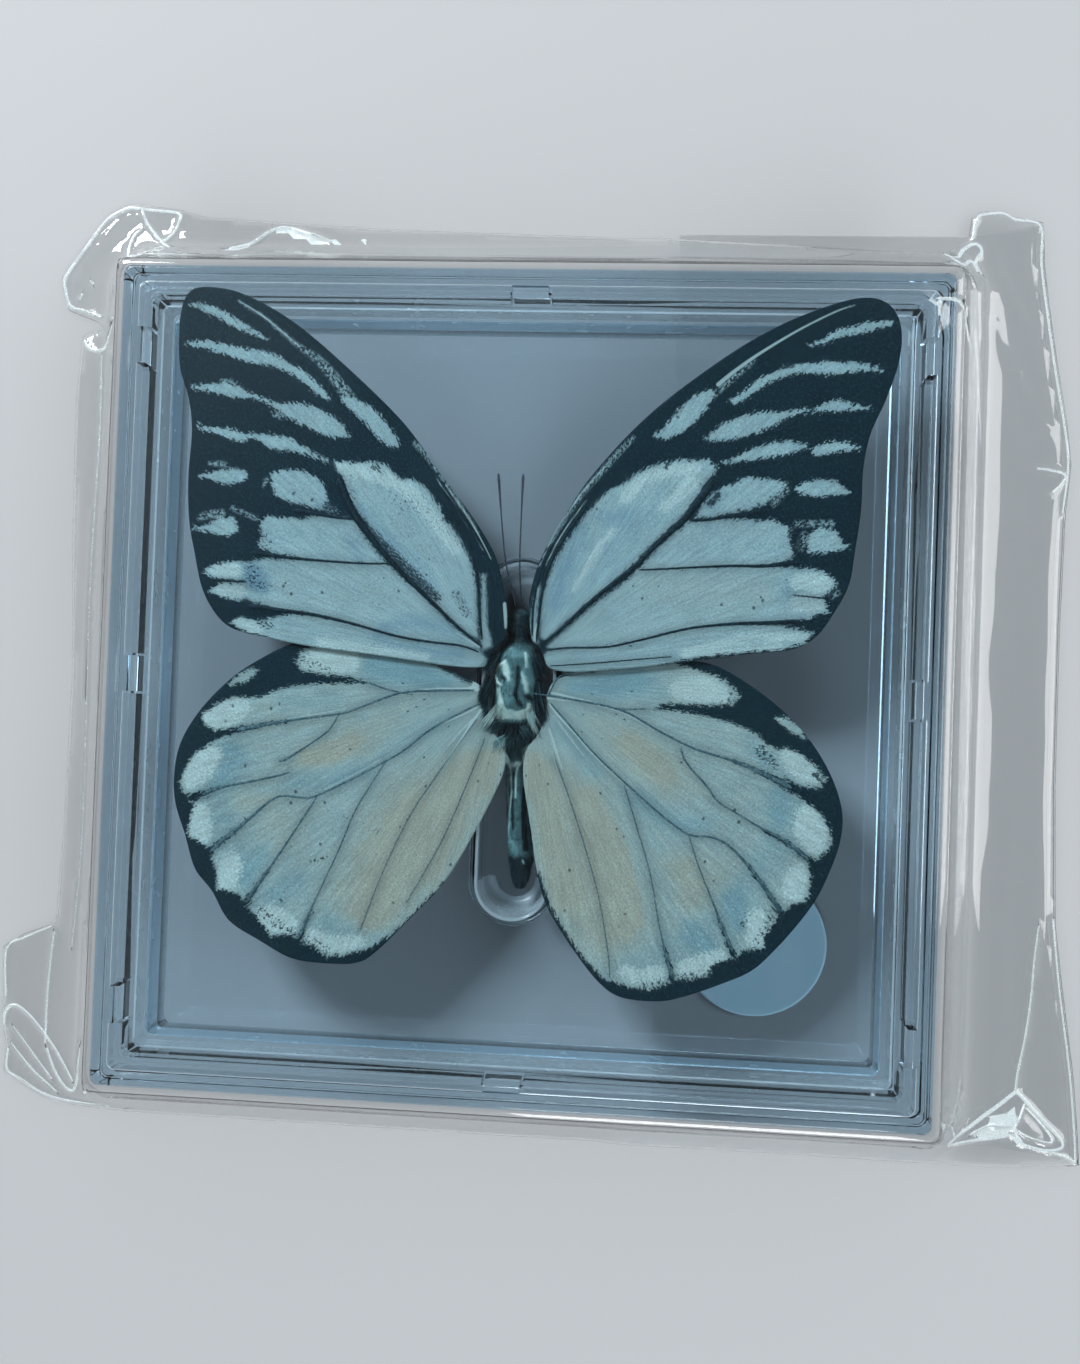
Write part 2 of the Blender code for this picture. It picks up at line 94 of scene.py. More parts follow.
POCKET_X = 0.2
POCKET_FRONT_Y = 10.6
POCKET_BACK_Y = -23.7
POCKET_RADIUS = 4.1
POCKET_FLOOR = CASE_BOTTOM + 1.3
POCKET_WALL = 1.0
# Painted glints and glow: how far the milky plastic reaches round the pocket's rim and the platform's wall,
# and its band and reach in the pocket's bowl
GLINT_REACH = 0.32
BOWL_BAND = 1.5
BOWL_REACH = 7.0
EDGE_ANGLE = 40.0
PLASTIC_IOR = 1.49

# The wings
WING_THICKNESS = 0.12
HINDWING_HEIGHT = PLATFORM_TOP + 0.3
FOREWING_HEIGHT = HINDWING_HEIGHT + 0.5
WING_STEP = 0.2
STROKE_STEP = 0.5
VEIN_LIFT = 0.08
VEIN_SIDES = 6
VEIN_TAPER = 0.3
VEIN_RISE = 0.35
PLEAT_DEPTH = 0.09
RIDGE_REACH = 0.9
TROUGH_REACH = 2.6

# How soft the edges of a wing's markings are, and how far its flow runs over one radian
WHITE_BLUR = 0.45
SHADE_BLUR = 0.7
DUST_BLUR = 0.35
FLOW_TURN = 24.0

# The film bag and its seal
FILM = 0.15
FILM_IOR = 1.48
FILM_GAP = 0.3
SEAL_X = 30.1
SEAL_Y = -30.9
SEAL_RADIUS = 9.0
SEAL_THICKNESS = 0.1
SEAL_GAP = 0.25
SEAL_WAVE = 0.03
SEAL_RAGGED = 0.008
SEAL_RINGS = 24
SEAL_SIDES = 96
FLAP_EDGE_X = 18.0
FLAP_INSET = 1.5
FLAP_COLUMNS = 18
FLAP_EDGE_SHARE = 0.15
BACK_SHEET_RISE_X = (10.0, 16.0)
BACK_SHEET_RISE = FILM + SEAL_GAP + SEAL_THICKNESS + SEAL_GAP
BAG_EDGE_STEP = 1.2
BACK_SHEET_INSET = 1.0
FILM_STEP = 0.8
FILM_STEP_ON_CASE = 3.0
ON_CASE_LOW = (-48.0, -48.0)
ON_CASE_HIGH = (48.5, 48.5)
FILM_STEP_BEHIND = 4.0
CREASE_STEP = 0.35
CREASE_SLOPE = 1.0
SWELL_SLOPE = 0.2
EDGE_FADE = 1.5
WINDOW_WAVE = 0.12
MARGIN_LIFT = 0.06
MARGIN_WAVE = 0.03
CREASE_ANGLE = 82.0
CASE_EDGE_RINGS = (49.7, 50.5, 51.1, 51.8)
FILM_SLOPE_OUT = (0.5, 1.6, 3.0, 4.6, 6.6, 9.0)
FILM_SLOPE_SHARE = (1.0, 0.76, 0.47, 0.2, 0.04, 0.0)

# Outline of the bag from above, turning left from the lower right corner. The film folds
# under along the right side.
BAG_RIGHT_SIDE = (
    (70.4, -56.0), (70.1, -52.0), (69.4, -45.0), (67.9, -35.0), (66.8, -27.0), (66.3, -10.0),
    (66.3, 10.0), (66.6, 24.0), (67.1, 30.0), (66.5, 35.0), (65.2, 42.0), (63.9, 50.0),
    (63.2, 55.0), (62.9, 60.2),
)
BAG_OTHER_SIDES = (
    (59.5, 60.9), (58.0, 61.7), (55.1, 61.5), (54.3, 60.8), (53.9, 57.8), (51.5, 56.4),
    (46.0, 56.4), (30.0, 57.2), (8.0, 58.2), (-20.0, 59.0), (-34.0, 59.8), (-44.0, 60.4),
    (-47.2, 61.3), (-52.8, 62.0), (-54.7, 62.0), (-57.0, 60.9), (-60.3, 56.7), (-63.3, 52.3),
    (-63.0, 50.4), (-62.2, 47.9), (-58.2, 46.4), (-57.2, 45.4), (-58.6, 45.1), (-60.2, 44.3),
    (-60.7, 36.0), (-60.4, 20.0), (-59.6, 0.0), (-59.8, -20.0), (-60.4, -33.0), (-64.5, -34.6),
    (-67.3, -36.4), (-67.0, -42.8), (-67.1, -45.4), (-66.3, -49.5), (-66.5, -52.6),
    (-64.1, -54.1), (-61.0, -55.7), (-57.0, -56.5), (-50.0, -56.9), (1.0, -57.0), (36.0, -56.8),
    (60.0, -56.9),
)

# Sharp creases of the film, whitened by folding and as painted glints along the folds: x, y and half width
# along each
FILM_CREASES = (
    ((-57.6, 46.9, 0.12), (-60.0, 47.7, 0.17), (-62.0, 48.4, 0.19), (-62.7, 50.5, 0.19),
     (-62.8, 52.2, 0.2), (-60.0, 56.4, 0.19), (-58.0, 59.4, 0.16), (-56.8, 60.5, 0.15),
     (-54.5, 61.5, 0.19), (-52.8, 61.4, 0.19), (-51.0, 61.2, 0.16), (-47.7, 60.8, 0.16),
     (-47.7, 59.4, 0.14), (-48.4, 57.9, 0.14), (-49.6, 56.9, 0.19), (-50.8, 58.0, 0.19),
     (-52.0, 59.6, 0.16), (-52.8, 61.4, 0.16)),
    ((-52.6, 58.6, 0.12), (-53.6, 57.6, 0.16), (-54.1, 55.4, 0.19), (-53.5, 54.5, 0.19),
     (-51.0, 54.3, 0.16), (-48.0, 54.2, 0.16), (-44.0, 54.1, 0.1)),
    ((-50.2, 55.4, 0.11), (-49.5, 55.9, 0.11), (-48.9, 55.5, 0.11), (-49.6, 55.1, 0.11),
     (-50.2, 55.4, 0.11)),
    ((-52.0, 59.4, 0.1), (-50.2, 57.2, 0.16), (-48.4, 55.9, 0.12)),
    ((-40.2, 55.8, 0.19), (-37.5, 56.8, 0.2), (-35.4, 58.4, 0.21), (-33.5, 59.1, 0.17),
     (-30.0, 58.2, 0.21), (-27.0, 57.0, 0.14)),
    ((-40.8, 55.4, 0.11), (-39.0, 55.6, 0.15), (-37.8, 56.2, 0.1)),
    ((-59.8, 43.8, 0.14), (-59.3, 42.9, 0.17), (-58.2, 42.4, 0.19), (-57.0, 42.5, 0.19),
     (-56.2, 43.7, 0.15), (-55.4, 45.4, 0.11)),
    ((-57.2, 41.8, 0.09), (-57.0, 30.0, 0.09), (-57.4, 10.0, 0.06), (-57.0, -20.0, 0.06),
     (-57.8, -36.0, 0.07)),
    ((-59.3, 51.8, 0.1), (-58.8, 51.2, 0.12)),
    ((-60.7, 49.1, 0.1), (-60.3, 50.0, 0.12)),
    ((54.4, 58.0, 0.11), (54.8, 60.5, 0.12), (55.5, 61.1, 0.12), (58.0, 61.3, 0.12),
     (59.5, 60.5, 0.11), (62.5, 59.8, 0.12), (62.8, 55.0, 0.14), (63.5, 50.0, 0.15),
     (64.8, 42.0, 0.14), (66.1, 35.0, 0.12), (66.7, 30.0, 0.11), (66.2, 24.0, 0.07)),
    ((62.8, 29.4, 0.1), (64.6, 29.2, 0.14), (66.5, 28.5, 0.12), (64.8, 26.4, 0.11)),
    ((50.9, 56.0, 0.15), (52.2, 55.2, 0.2), (53.2, 56.6, 0.21), (54.6, 57.4, 0.19),
     (55.4, 56.4, 0.17), (54.6, 54.8, 0.2), (55.3, 53.2, 0.12)),
    ((51.4, 54.9, 0.16), (52.8, 54.0, 0.21), (54.0, 55.0, 0.2), (54.7, 53.4, 0.15)),
    ((46.6, 46.6, 0.14), (47.5, 46.1, 0.19)),
    ((47.6, 46.7, 0.16), (49.6, 46.6, 0.2), (50.6, 45.8, 0.19), (52.2, 44.0, 0.14)),
    ((47.8, 46.6, 0.19), (47.8, 44.7, 0.12)),
    ((51.2, 44.8, 0.12), (51.8, 46.0, 0.14)),
    ((52.0, 50.9, 0.12), (52.7, 51.7, 0.15), (53.5, 51.1, 0.1)),
    ((64.7, -27.0, 0.08), (64.3, -31.0, 0.09), (64.0, -36.0, 0.1), (63.4, -41.0, 0.11),
     (62.7, -45.0, 0.12), (62.5, -47.3, 0.14)),
    ((66.4, -26.0, 0.08), (67.5, -35.0, 0.09), (69.0, -45.0, 0.11), (69.7, -52.0, 0.11),
     (69.9, -55.2, 0.11)),
    ((62.6, -47.3, 0.19), (60.4, -49.2, 0.2), (57.4, -51.6, 0.2), (54.3, -54.1, 0.16),
     (58.0, -53.5, 0.2), (61.0, -52.9, 0.21), (62.2, -52.7, 0.21), (63.2, -53.6, 0.21),
     (66.3, -54.3, 0.2), (68.3, -53.4, 0.16), (65.6, -50.4, 0.2), (62.6, -47.3, 0.19)),
    ((63.5, -48.8, 0.12), (62.6, -50.6, 0.16), (62.3, -51.8, 0.19), (63.3, -53.3, 0.15)),
    ((63.7, -49.2, 0.09), (65.7, -51.2, 0.12), (66.9, -53.1, 0.12), (64.4, -52.7, 0.12),
     (62.5, -51.8, 0.14)),
    ((57.0, -52.8, 0.09), (59.4, -51.5, 0.12), (62.1, -51.4, 0.12)),
    ((59.4, -50.6, 0.09), (61.4, -50.0, 0.11)),
    ((66.5, -54.4, 0.15), (68.4, -54.9, 0.16), (70.0, -55.7, 0.12)),
    ((54.3, -51.2, 0.09), (55.0, -52.8, 0.12)),
    ((-66.7, -46.6, 0.12), (-66.7, -45.3, 0.19), (-66.2, -44.3, 0.21), (-65.3, -43.9, 0.21),
     (-64.0, -44.5, 0.2), (-62.0, -46.3, 0.17), (-60.0, -48.7, 0.15), (-58.0, -51.5, 0.15),
     (-56.9, -53.3, 0.12)),
    ((-60.7, -49.2, 0.14), (-59.6, -51.8, 0.14), (-58.2, -53.9, 0.17), (-57.0, -54.5, 0.19),
     (-56.4, -53.6, 0.16), (-55.9, -51.0, 0.15), (-55.6, -48.5, 0.09)),
    ((-65.4, -46.6, 0.09), (-62.6, -49.8, 0.12), (-59.8, -53.2, 0.1)),
    ((-65.6, -48.8, 0.09), (-62.6, -52.0, 0.14), (-59.0, -54.9, 0.1)),
    ((-66.0, -49.6, 0.1), (-66.0, -52.3, 0.12), (-63.9, -53.6, 0.12), (-60.9, -55.2, 0.12),
     (-57.0, -56.0, 0.11), (-50.0, -56.4, 0.06)),
    ((-60.4, -34.0, 0.09), (-60.9, -42.0, 0.11), (-60.9, -48.6, 0.12)),
    ((-60.8, -33.4, 0.06), (-64.5, -35.1, 0.09), (-66.8, -36.7, 0.09), (-66.6, -42.8, 0.07)),
    ((-55.2, -54.6, 0.16), (-54.6, -54.2, 0.12)),
)

# Soft folds of the film in the same way
FILM_SWELLS = (
    ((57.0, 48.0, 0.7), (59.4, 42.6, 0.8), (62.0, 37.0, 0.8), (65.0, 32.0, 0.5)),
    ((56.5, 57.5, 0.7), (58.6, 52.0, 0.9), (61.0, 47.0, 0.7)),
    ((61.8, 20.0, 0.5), (62.6, 4.0, 0.6), (61.0, -18.0, 0.5)),
    ((60.4, -10.0, 0.6), (60.8, -30.0, 0.7), (60.0, -44.0, 0.6)),
    ((-58.4, 40.0, 0.6), (-58.6, 20.0, 0.6), (-58.2, 0.0, 0.5), (-58.6, -20.0, 0.6), (-59.2, -32.0, 0.6)),
    ((-65.0, -46.0, 0.8), (-62.0, -49.6, 1.0), (-59.6, -52.8, 0.7)),
)

# Folded corner that stands up like a low tent
FILM_TENT = ((54.3, -54.1), (62.6, -47.3), (68.3, -53.4), (66.3, -54.3), (63.2, -53.6), (62.2, -52.7))
FILM_TENT_SLOPE = 0.5
FILM_TENT_HEIGHT = 1.2

# Places where folded layers of film look hazy
FILM_HAZY_AREAS = (
    ((57.4, -53.0), (60.4, -50.2), (62.3, -48.8), (62.2, -51.6), (61.6, -52.6)),
    ((-34.8, 58.5), (-33.5, 59.0), (-30.0, 58.1), (-25.0, 56.9), (-22.0, 57.2), (-29.0, 56.6)),
)

# Outlines of the wings from above
LEFT_FOREWING = (
    (-1.5, 5.9), (-1.35, 8.5), (-1.75, 10.9), (-3.1, 15.6), (-6.0, 20.2), (-9.9, 25.1),
    (-14.8, 31.4), (-21.8, 37.9), (-28.8, 43.5), (-34.7, 46.7), (-38.6, 47.7), (-41.6, 47.5),
    (-42.9, 45.6), (-43.2, 42.0), (-42.9, 37.7), (-41.7, 34.1), (-41.1, 30.1), (-41.3, 24.5),
    (-41.0, 19.2), (-40.1, 14.9), (-38.9, 10.5), (-36.9, 7.3), (-34.5, 5.7), (-30.1, 4.8),
    (-25.1, 4.0), (-15.2, 3.0), (-8.0, 2.2), (-3.9, 2.3), (-3.3, 3.6), (-2.3, 5.0),
)
RIGHT_FOREWING = (
    (1.7, 5.7), (1.3, 8.3), (1.25, 11.0), (2.3, 15.2), (4.7, 20.0), (8.4, 25.9),
    (14.8, 33.1), (22.7, 39.5), (29.1, 43.6), (35.2, 46.3), (39.6, 47.4), (42.4, 46.7),
    (43.9, 44.2), (43.9, 40.2), (42.5, 35.4), (40.8, 31.2), (40.1, 27.0), (40.0, 22.3),
    (39.4, 17.0), (38.9, 13.5), (37.4, 10.3), (35.2, 7.1), (32.3, 5.5), (27.0, 4.8),
    (20.0, 3.6), (12.0, 2.5), (6.5, 2.0), (3.9, 2.4), (3.2, 3.7), (2.5, 4.9),
)
LEFT_HINDWING = (
    (-3.6, -0.9), (-6.0, 0.8), (-12.0, 3.0), (-18.0, 4.5), (-24.0, 4.9), (-27.9, 4.2),
    (-32.2, 1.9), (-35.3, -0.4), (-38.7, -4.1), (-41.0, -8.1), (-41.7, -12.0), (-41.4, -15.7),
    (-40.0, -19.6), (-38.6, -23.6), (-36.4, -26.2), (-34.1, -29.7), (-30.1, -32.0),
    (-26.1, -33.9), (-21.5, -34.3), (-18.1, -34.0), (-16.0, -32.7), (-12.3, -28.9),
    (-8.0, -24.0), (-4.7, -18.2), (-2.2, -13.0), (-1.1, -9.8), (-1.3, -7.4), (-3.1, -4.7),
)
RIGHT_HINDWING = (
    (3.7, -0.9), (5.0, 1.1), (9.0, 2.2), (14.0, 3.3), (19.1, 3.8), (23.5, 3.4),
    (27.9, 1.1), (31.7, -1.7), (35.0, -5.1), (37.6, -9.2), (39.0, -13.3), (38.9, -16.8),
    (37.8, -20.4), (36.4, -23.6), (34.5, -26.5), (32.0, -29.6), (29.1, -32.5), (25.3, -34.4),
    (21.2, -36.0), (18.2, -36.7), (14.0, -36.5), (11.2, -34.9), (8.0, -31.2), (4.8, -26.5),
    (3.4, -22.6), (2.3, -16.8), (1.2, -10.7), (1.5, -7.6), (3.1, -5.0),
)

# Pale fields of the left forewing, between its veins; the rest of that wing is black
LEFT_FOREWING_CELL = (
    (-23.2, 26.5), (-20.5, 26.5), (-18.2, 26.7), (-16.7, 26.2), (-15.8, 25.3), (-14.9, 24.5),
    (-13.6, 24.6), (-12.2, 23.9), (-11.2, 22.8), (-10.1, 21.3), (-9.5, 19.9), (-8.2, 18.6),
    (-7.2, 17.0), (-6.2, 15.2), (-5.6, 13.4), (-5.25, 11.5), (-5.1, 9.3), (-4.95, 7.3),
    (-4.8, 5.7), (-5.4, 5.8), (-7.5, 7.3), (-10.2, 9.8), (-12.6, 11.9), (-14.4, 13.6),
    (-16.2, 15.6), (-17.8, 17.5), (-19.4, 19.8), (-20.6, 21.3), (-21.6, 23.0), (-22.4, 24.8),
)
LEFT_FOREWING_MIDDLE = (
    (-15.6, 14.3), (-17.0, 15.8), (-18.4, 17.6), (-19.6, 19.2), (-20.7, 19.6), (-23.0, 19.9),
    (-25.5, 19.8), (-27.0, 19.4), (-29.0, 19.5), (-31.0, 19.7), (-31.9, 19.1), (-32.1, 18.2),
    (-31.6, 17.2), (-32.2, 16.4), (-32.0, 15.9), (-30.5, 15.4), (-28.5, 15.0), (-26.0, 14.6),
    (-23.0, 14.3), (-20.0, 14.2),
)
LEFT_FOREWING_LOWER = (
    (-14.6, 13.0), (-15.6, 14.6), (-20.0, 14.5), (-24.0, 14.5), (-28.5, 14.5), (-31.5, 14.5),
    (-33.3, 14.1), (-35.5, 14.0), (-37.3, 13.7), (-39.0, 12.8), (-37.5, 12.0), (-35.5, 11.85),
    (-34.0, 11.8), (-33.7, 11.6), (-34.1, 11.4), (-36.5, 11.4), (-38.1, 10.4), (-36.8, 9.8),
    (-35.0, 9.4), (-33.5, 9.5), (-32.0, 9.1), (-31.0, 8.8), (-29.0, 8.4), (-26.0, 8.1),
    (-23.0, 7.5), (-20.0, 6.7), (-16.0, 5.9), (-13.0, 5.2), (-9.0, 4.8), (-6.5, 4.6),
    (-4.6, 4.3), (-4.9, 5.0), (-7.8, 6.9), (-10.4, 9.3), (-13.0, 11.7),
)
LEFT_FOREWING_REAR = (
    (-35.2, 6.7), (-34.2, 7.3), (-33.0, 7.0), (-31.4, 6.9), (-30.3, 7.3), (-28.0, 7.8),
    (-26.0, 7.8), (-23.0, 7.4), (-20.0, 6.8), (-16.0, 5.9), (-13.0, 5.2), (-9.0, 4.8),
    (-6.8, 4.6), (-4.6, 4.2), (-3.7, 3.2), (-4.0, 1.5), (-8.0, 1.4), (-15.2, 2.3),
    (-25.1, 3.4), (-29.0, 4.2), (-31.0, 5.1), (-33.0, 5.4), (-34.3, 6.0),
)
LEFT_FOREWING_BASE = (
    (-4.65, 13.4), (-4.25, 13.3), (-4.0, 10.0), (-3.75, 7.0), (-3.3, 5.6), (-3.2, 4.8),
    (-4.2, 4.2), (-4.4, 5.4), (-4.45, 7.5), (-4.6, 10.0),
)
LEFT_FOREWING_OVAL = (
    (-31.0, 24.9), (-30.0, 25.2), (-28.5, 25.5), (-27.0, 25.3), (-25.3, 24.5), (-24.3, 23.5),
    (-24.0, 22.5), (-23.6, 21.3), (-22.4, 20.5), (-23.6, 20.5), (-25.2, 20.8), (-26.8, 21.2),
    (-28.4, 21.5), (-29.6, 22.0), (-30.5, 22.4), (-30.7, 23.5),
)

# Pale streaks and spots of the left forewing: x, y and half width along each
LEFT_FOREWING_STREAKS = (
    ((-41.7, 45.6, 0.12), (-40.3, 45.3, 0.35), (-38.5, 44.6, 0.45), (-36.5, 43.5, 0.45),
     (-35.0, 42.8, 0.35), (-33.8, 42.2, 0.22), (-32.1, 41.4, 0.08)),
    ((-42.3, 40.7, 0.1), (-40.5, 40.7, 0.35), (-38.0, 40.3, 0.55), (-35.5, 39.6, 0.7),
     (-33.0, 39.2, 0.8), (-31.0, 38.7, 0.62), (-29.0, 37.8, 0.52), (-27.0, 36.6, 0.48),
     (-25.3, 35.1, 0.42), (-24.2, 34.2, 0.15)),
    ((-41.4, 35.4, 0.1), (-39.5, 35.35, 0.35), (-37.0, 35.2, 0.7), (-35.3, 34.8, 0.6),
     (-34.0, 34.4, 0.25), (-32.0, 33.9, 0.16), (-30.6, 33.2, 0.35), (-29.0, 32.7, 0.85),
     (-27.5, 32.4, 1.15), (-25.5, 31.6, 1.3), (-23.6, 30.7, 1.05), (-22.3, 30.1, 0.5),
     (-21.5, 29.8, 0.1)),
    ((-40.1, 30.3, 0.1), (-39.0, 30.1, 0.2), (-37.0, 29.9, 0.5), (-35.2, 29.4, 0.55),
     (-34.1, 29.2, 0.2)),
    ((-33.9, 29.6, 0.15), (-32.4, 29.3, 0.42), (-30.8, 28.8, 0.82), (-29.0, 28.6, 0.7),
     (-27.6, 28.1, 0.45), (-25.6, 27.3, 0.2), (-24.1, 26.6, 0.12)),
    ((-22.0, 34.2, 0.45), (-20.6, 33.3, 0.78), (-19.0, 32.1, 0.95), (-17.3, 30.3, 0.9),
     (-16.2, 29.2, 0.6), (-15.6, 28.7, 0.15)),
    ((-40.0, 24.4, 0.1), (-38.4, 24.5, 0.42), (-36.8, 24.45, 0.87), (-35.2, 24.6, 0.82),
     (-34.3, 24.7, 0.45), (-34.0, 24.8, 0.15)),
    ((-40.4, 18.0, 0.08), (-38.8, 18.0, 0.3), (-37.6, 18.3, 0.8), (-36.3, 18.4, 1.15),
     (-35.5, 18.3, 0.7), (-35.1, 18.1, 0.2)),
    ((-40.2, 30.65, 0.14), (-40.0, 30.6, 0.1)),
)

# Thin lines of scattered pale scales on the left forewing
LEFT_FOREWING_SPRINKLES = (
    ((-35.9, 46.1, 0.1), (-34.7, 45.3, 0.15), (-33.0, 44.4, 0.17), (-31.2, 43.0, 0.22),
     (-29.8, 41.9, 0.25), (-28.0, 40.5, 0.32), (-26.0, 39.2, 0.5), (-24.3, 37.6, 0.6),
     (-22.8, 35.8, 0.7), (-21.6, 34.2, 0.8)),
    ((-38.6, 26.0, 0.3), (-37.2, 26.0, 0.35), (-36.4, 25.8, 0.2)),
    ((-39.6, 19.3, 0.4), (-38.4, 19.8, 0.5), (-37.0, 19.9, 0.5)),
    ((-37.6, 36.2, 0.3), (-36.0, 36.1, 0.3)),
    ((-31.0, 32.3, 0.35), (-30.0, 31.9, 0.3)),
    ((-31.5, 24.2, 0.3), (-31.8, 23.4, 0.2)),
    ((-13.4, 29.0, 0.35), (-11.6, 27.2, 0.35), (-8.6, 23.3, 0.3), (-5.6, 18.4, 0.35)),
    ((-35.6, 20.6, 0.3), (-32.6, 19.4, 0.3)),
)

# Pale fields of the right forewing
RIGHT_FOREWING_CELL = (
    (2.75, 6.0), (2.6, 8.5), (2.75, 10.5), (3.3, 12.8), (4.2, 15.4), (5.3, 17.4),
    (6.3, 18.8), (7.2, 20.3), (8.1, 21.4), (9.3, 22.9), (10.4, 23.9), (11.8, 24.5),
    (12.6, 25.2), (14.0, 26.2), (15.6, 27.0), (17.0, 27.4), (18.6, 27.7), (20.6, 27.6),
    (21.8, 28.0), (22.3, 27.3), (22.9, 26.8), (22.3, 25.8), (21.5, 24.8), (21.0, 23.8),
    (20.2, 22.4), (19.2, 21.1), (18.0, 19.9), (16.4, 18.3), (15.0, 16.9), (13.6, 15.2),
    (12.2, 13.9), (10.4, 12.3), (8.4, 10.5), (6.2, 8.5), (4.4, 6.8), (3.3, 5.7),
)
RIGHT_FOREWING_MIDDLE = (
    (14.1, 14.5), (16.2, 16.9), (18.4, 19.1), (19.9, 20.3), (21.5, 20.5), (24.0, 20.7),
    (26.5, 20.8), (28.4, 20.6), (29.6, 20.9), (31.0, 20.2), (32.1, 19.9), (31.7, 19.0),
    (32.0, 18.0), (32.3, 17.0), (32.0, 16.2), (31.0, 15.9), (29.0, 15.4), (26.0, 15.1),
    (22.0, 14.9), (18.0, 14.5),
)
RIGHT_FOREWING_LOWER = (
    (12.8, 13.1), (14.2, 14.6), (18.0, 14.7), (22.0, 15.0), (26.0, 15.2), (30.0, 15.3),
    (32.5, 15.1), (34.0, 15.2), (35.5, 14.9), (36.5, 14.4), (37.3, 13.8), (37.4, 13.0),
    (36.5, 12.4), (35.8, 11.9), (36.1, 11.2), (36.4, 10.5), (36.6, 10.1), (35.5, 9.9),
    (34.5, 9.4), (33.0, 9.0), (31.0, 8.8), (28.0, 8.5), (25.0, 8.3), (22.0, 7.8),
    (18.0, 7.0), (14.0, 5.9), (10.0, 5.1), (7.0, 4.8), (4.2, 4.6), (3.6, 4.9),
    (4.6, 6.0), (6.8, 8.0), (9.2, 10.3),
)
RIGHT_FOREWING_REAR = (
    (3.6, 4.4), (7.0, 4.9), (10.0, 5.3), (14.0, 6.1), (18.0, 7.1), (22.0, 8.0),
    (25.0, 8.2), (28.0, 8.3), (31.0, 8.3), (33.0, 8.0), (34.9, 7.5), (34.2, 6.7),
    (33.3, 6.1), (31.5, 5.6), (28.0, 5.15), (24.0, 4.7), (20.0, 4.0), (18.6, 3.6),
    (15.0, 2.6), (12.0, 1.8), (6.5, 1.2), (3.9, 1.6), (3.0, 3.4),
)
RIGHT_FOREWING_BASE = (
    (2.2, 12.3), (2.45, 12.0), (2.2, 9.0), (2.2, 6.5), (2.4, 5.2), (1.9, 5.3),
    (1.5, 5.8), (1.35, 7.2), (1.6, 9.5),
)
RIGHT_FOREWING_OVAL = (
    (20.6, 20.9), (22.1, 23.3), (23.3, 24.3), (25.0, 25.0), (26.6, 25.8), (28.4, 25.7),
    (29.9, 25.5), (31.2, 25.2), (30.6, 24.2), (29.6, 23.2), (28.5, 22.5), (27.0, 22.0),
    (24.5, 21.4), (22.5, 21.0),
)
RIGHT_FOREWING_TOOTH = (
    (34.0, 17.0), (33.9, 18.6), (34.4, 19.6), (35.5, 20.0), (36.7, 19.9), (37.4, 19.2),
    (38.0, 18.3), (38.7, 17.9), (37.5, 17.5), (36.2, 17.2), (35.2, 17.1),
)

# Pale streaks and spots of the right forewing, and its scattered pale scales
RIGHT_FOREWING_STREAKS = (
    ((33.4, 41.6, 0.1), (34.8, 42.1, 0.15), (36.3, 42.9, 0.35), (38.0, 43.4, 0.45),
     (39.6, 43.8, 0.5), (41.2, 44.2, 0.4), (42.4, 44.4, 0.3), (42.8, 44.5, 0.12)),
    ((15.6, 30.5, 0.15), (17.0, 31.0, 0.7), (18.3, 32.0, 1.0), (19.6, 33.4, 1.15),
     (20.8, 34.7, 1.0), (21.8, 35.7, 0.5)),
    ((24.4, 34.9, 0.15), (25.2, 35.1, 0.35), (26.4, 36.0, 0.4), (28.0, 37.2, 0.45),
     (30.0, 38.2, 0.45), (32.0, 38.8, 0.5), (34.0, 39.0, 0.6), (36.0, 39.0, 0.7),
     (38.0, 39.1, 0.55), (39.8, 39.1, 0.35), (41.2, 38.9, 0.2), (41.9, 38.8, 0.08)),
    ((21.6, 30.3, 0.15), (22.6, 30.6, 0.5), (24.2, 31.3, 1.0), (26.0, 31.9, 1.15),
     (28.0, 32.5, 1.05), (29.6, 32.9, 0.7), (31.0, 33.4, 0.35), (32.5, 33.8, 0.2),
     (34.0, 34.0, 0.12), (35.0, 34.1, 0.3), (36.5, 34.5, 0.65), (37.5, 34.5, 0.6),
     (39.0, 34.4, 0.25), (40.5, 34.25, 0.1)),
    ((23.6, 27.5, 0.1), (25.0, 27.8, 0.25), (27.0, 28.5, 0.55), (29.0, 29.0, 0.78),
     (31.0, 29.4, 0.78), (32.3, 29.6, 0.4), (33.3, 29.6, 0.2)),
    ((34.1, 29.0, 0.15), (35.0, 29.2, 0.55), (36.4, 29.6, 0.62), (37.6, 29.7, 0.45),
     (38.6, 29.6, 0.35), (39.4, 29.6, 0.15)),
    ((32.6, 24.5, 0.2), (33.6, 24.6, 0.7), (35.0, 24.7, 1.0), (36.4, 24.8, 0.85),
     (37.6, 24.5, 0.45), (38.6, 24.3, 0.12)),
)
RIGHT_FOREWING_SPRINKLES = (
    ((33.5, 19.0, 0.5), (33.0, 17.6, 0.5)),
    ((37.0, 12.0, 0.4), (37.6, 12.4, 0.3)),
    ((29.8, 22.6, 0.3), (31.2, 24.4, 0.4)),
    ((32.6, 20.4, 0.4), (36.6, 20.6, 0.4)),
    ((12.9, 30.2, 0.3), (10.4, 27.4, 0.35), (6.4, 22.3, 0.3), (3.6, 17.4, 0.3)),
    ((22.3, 35.5, 0.3), (24.3, 37.4, 0.35), (26.8, 39.6, 0.3)),
)

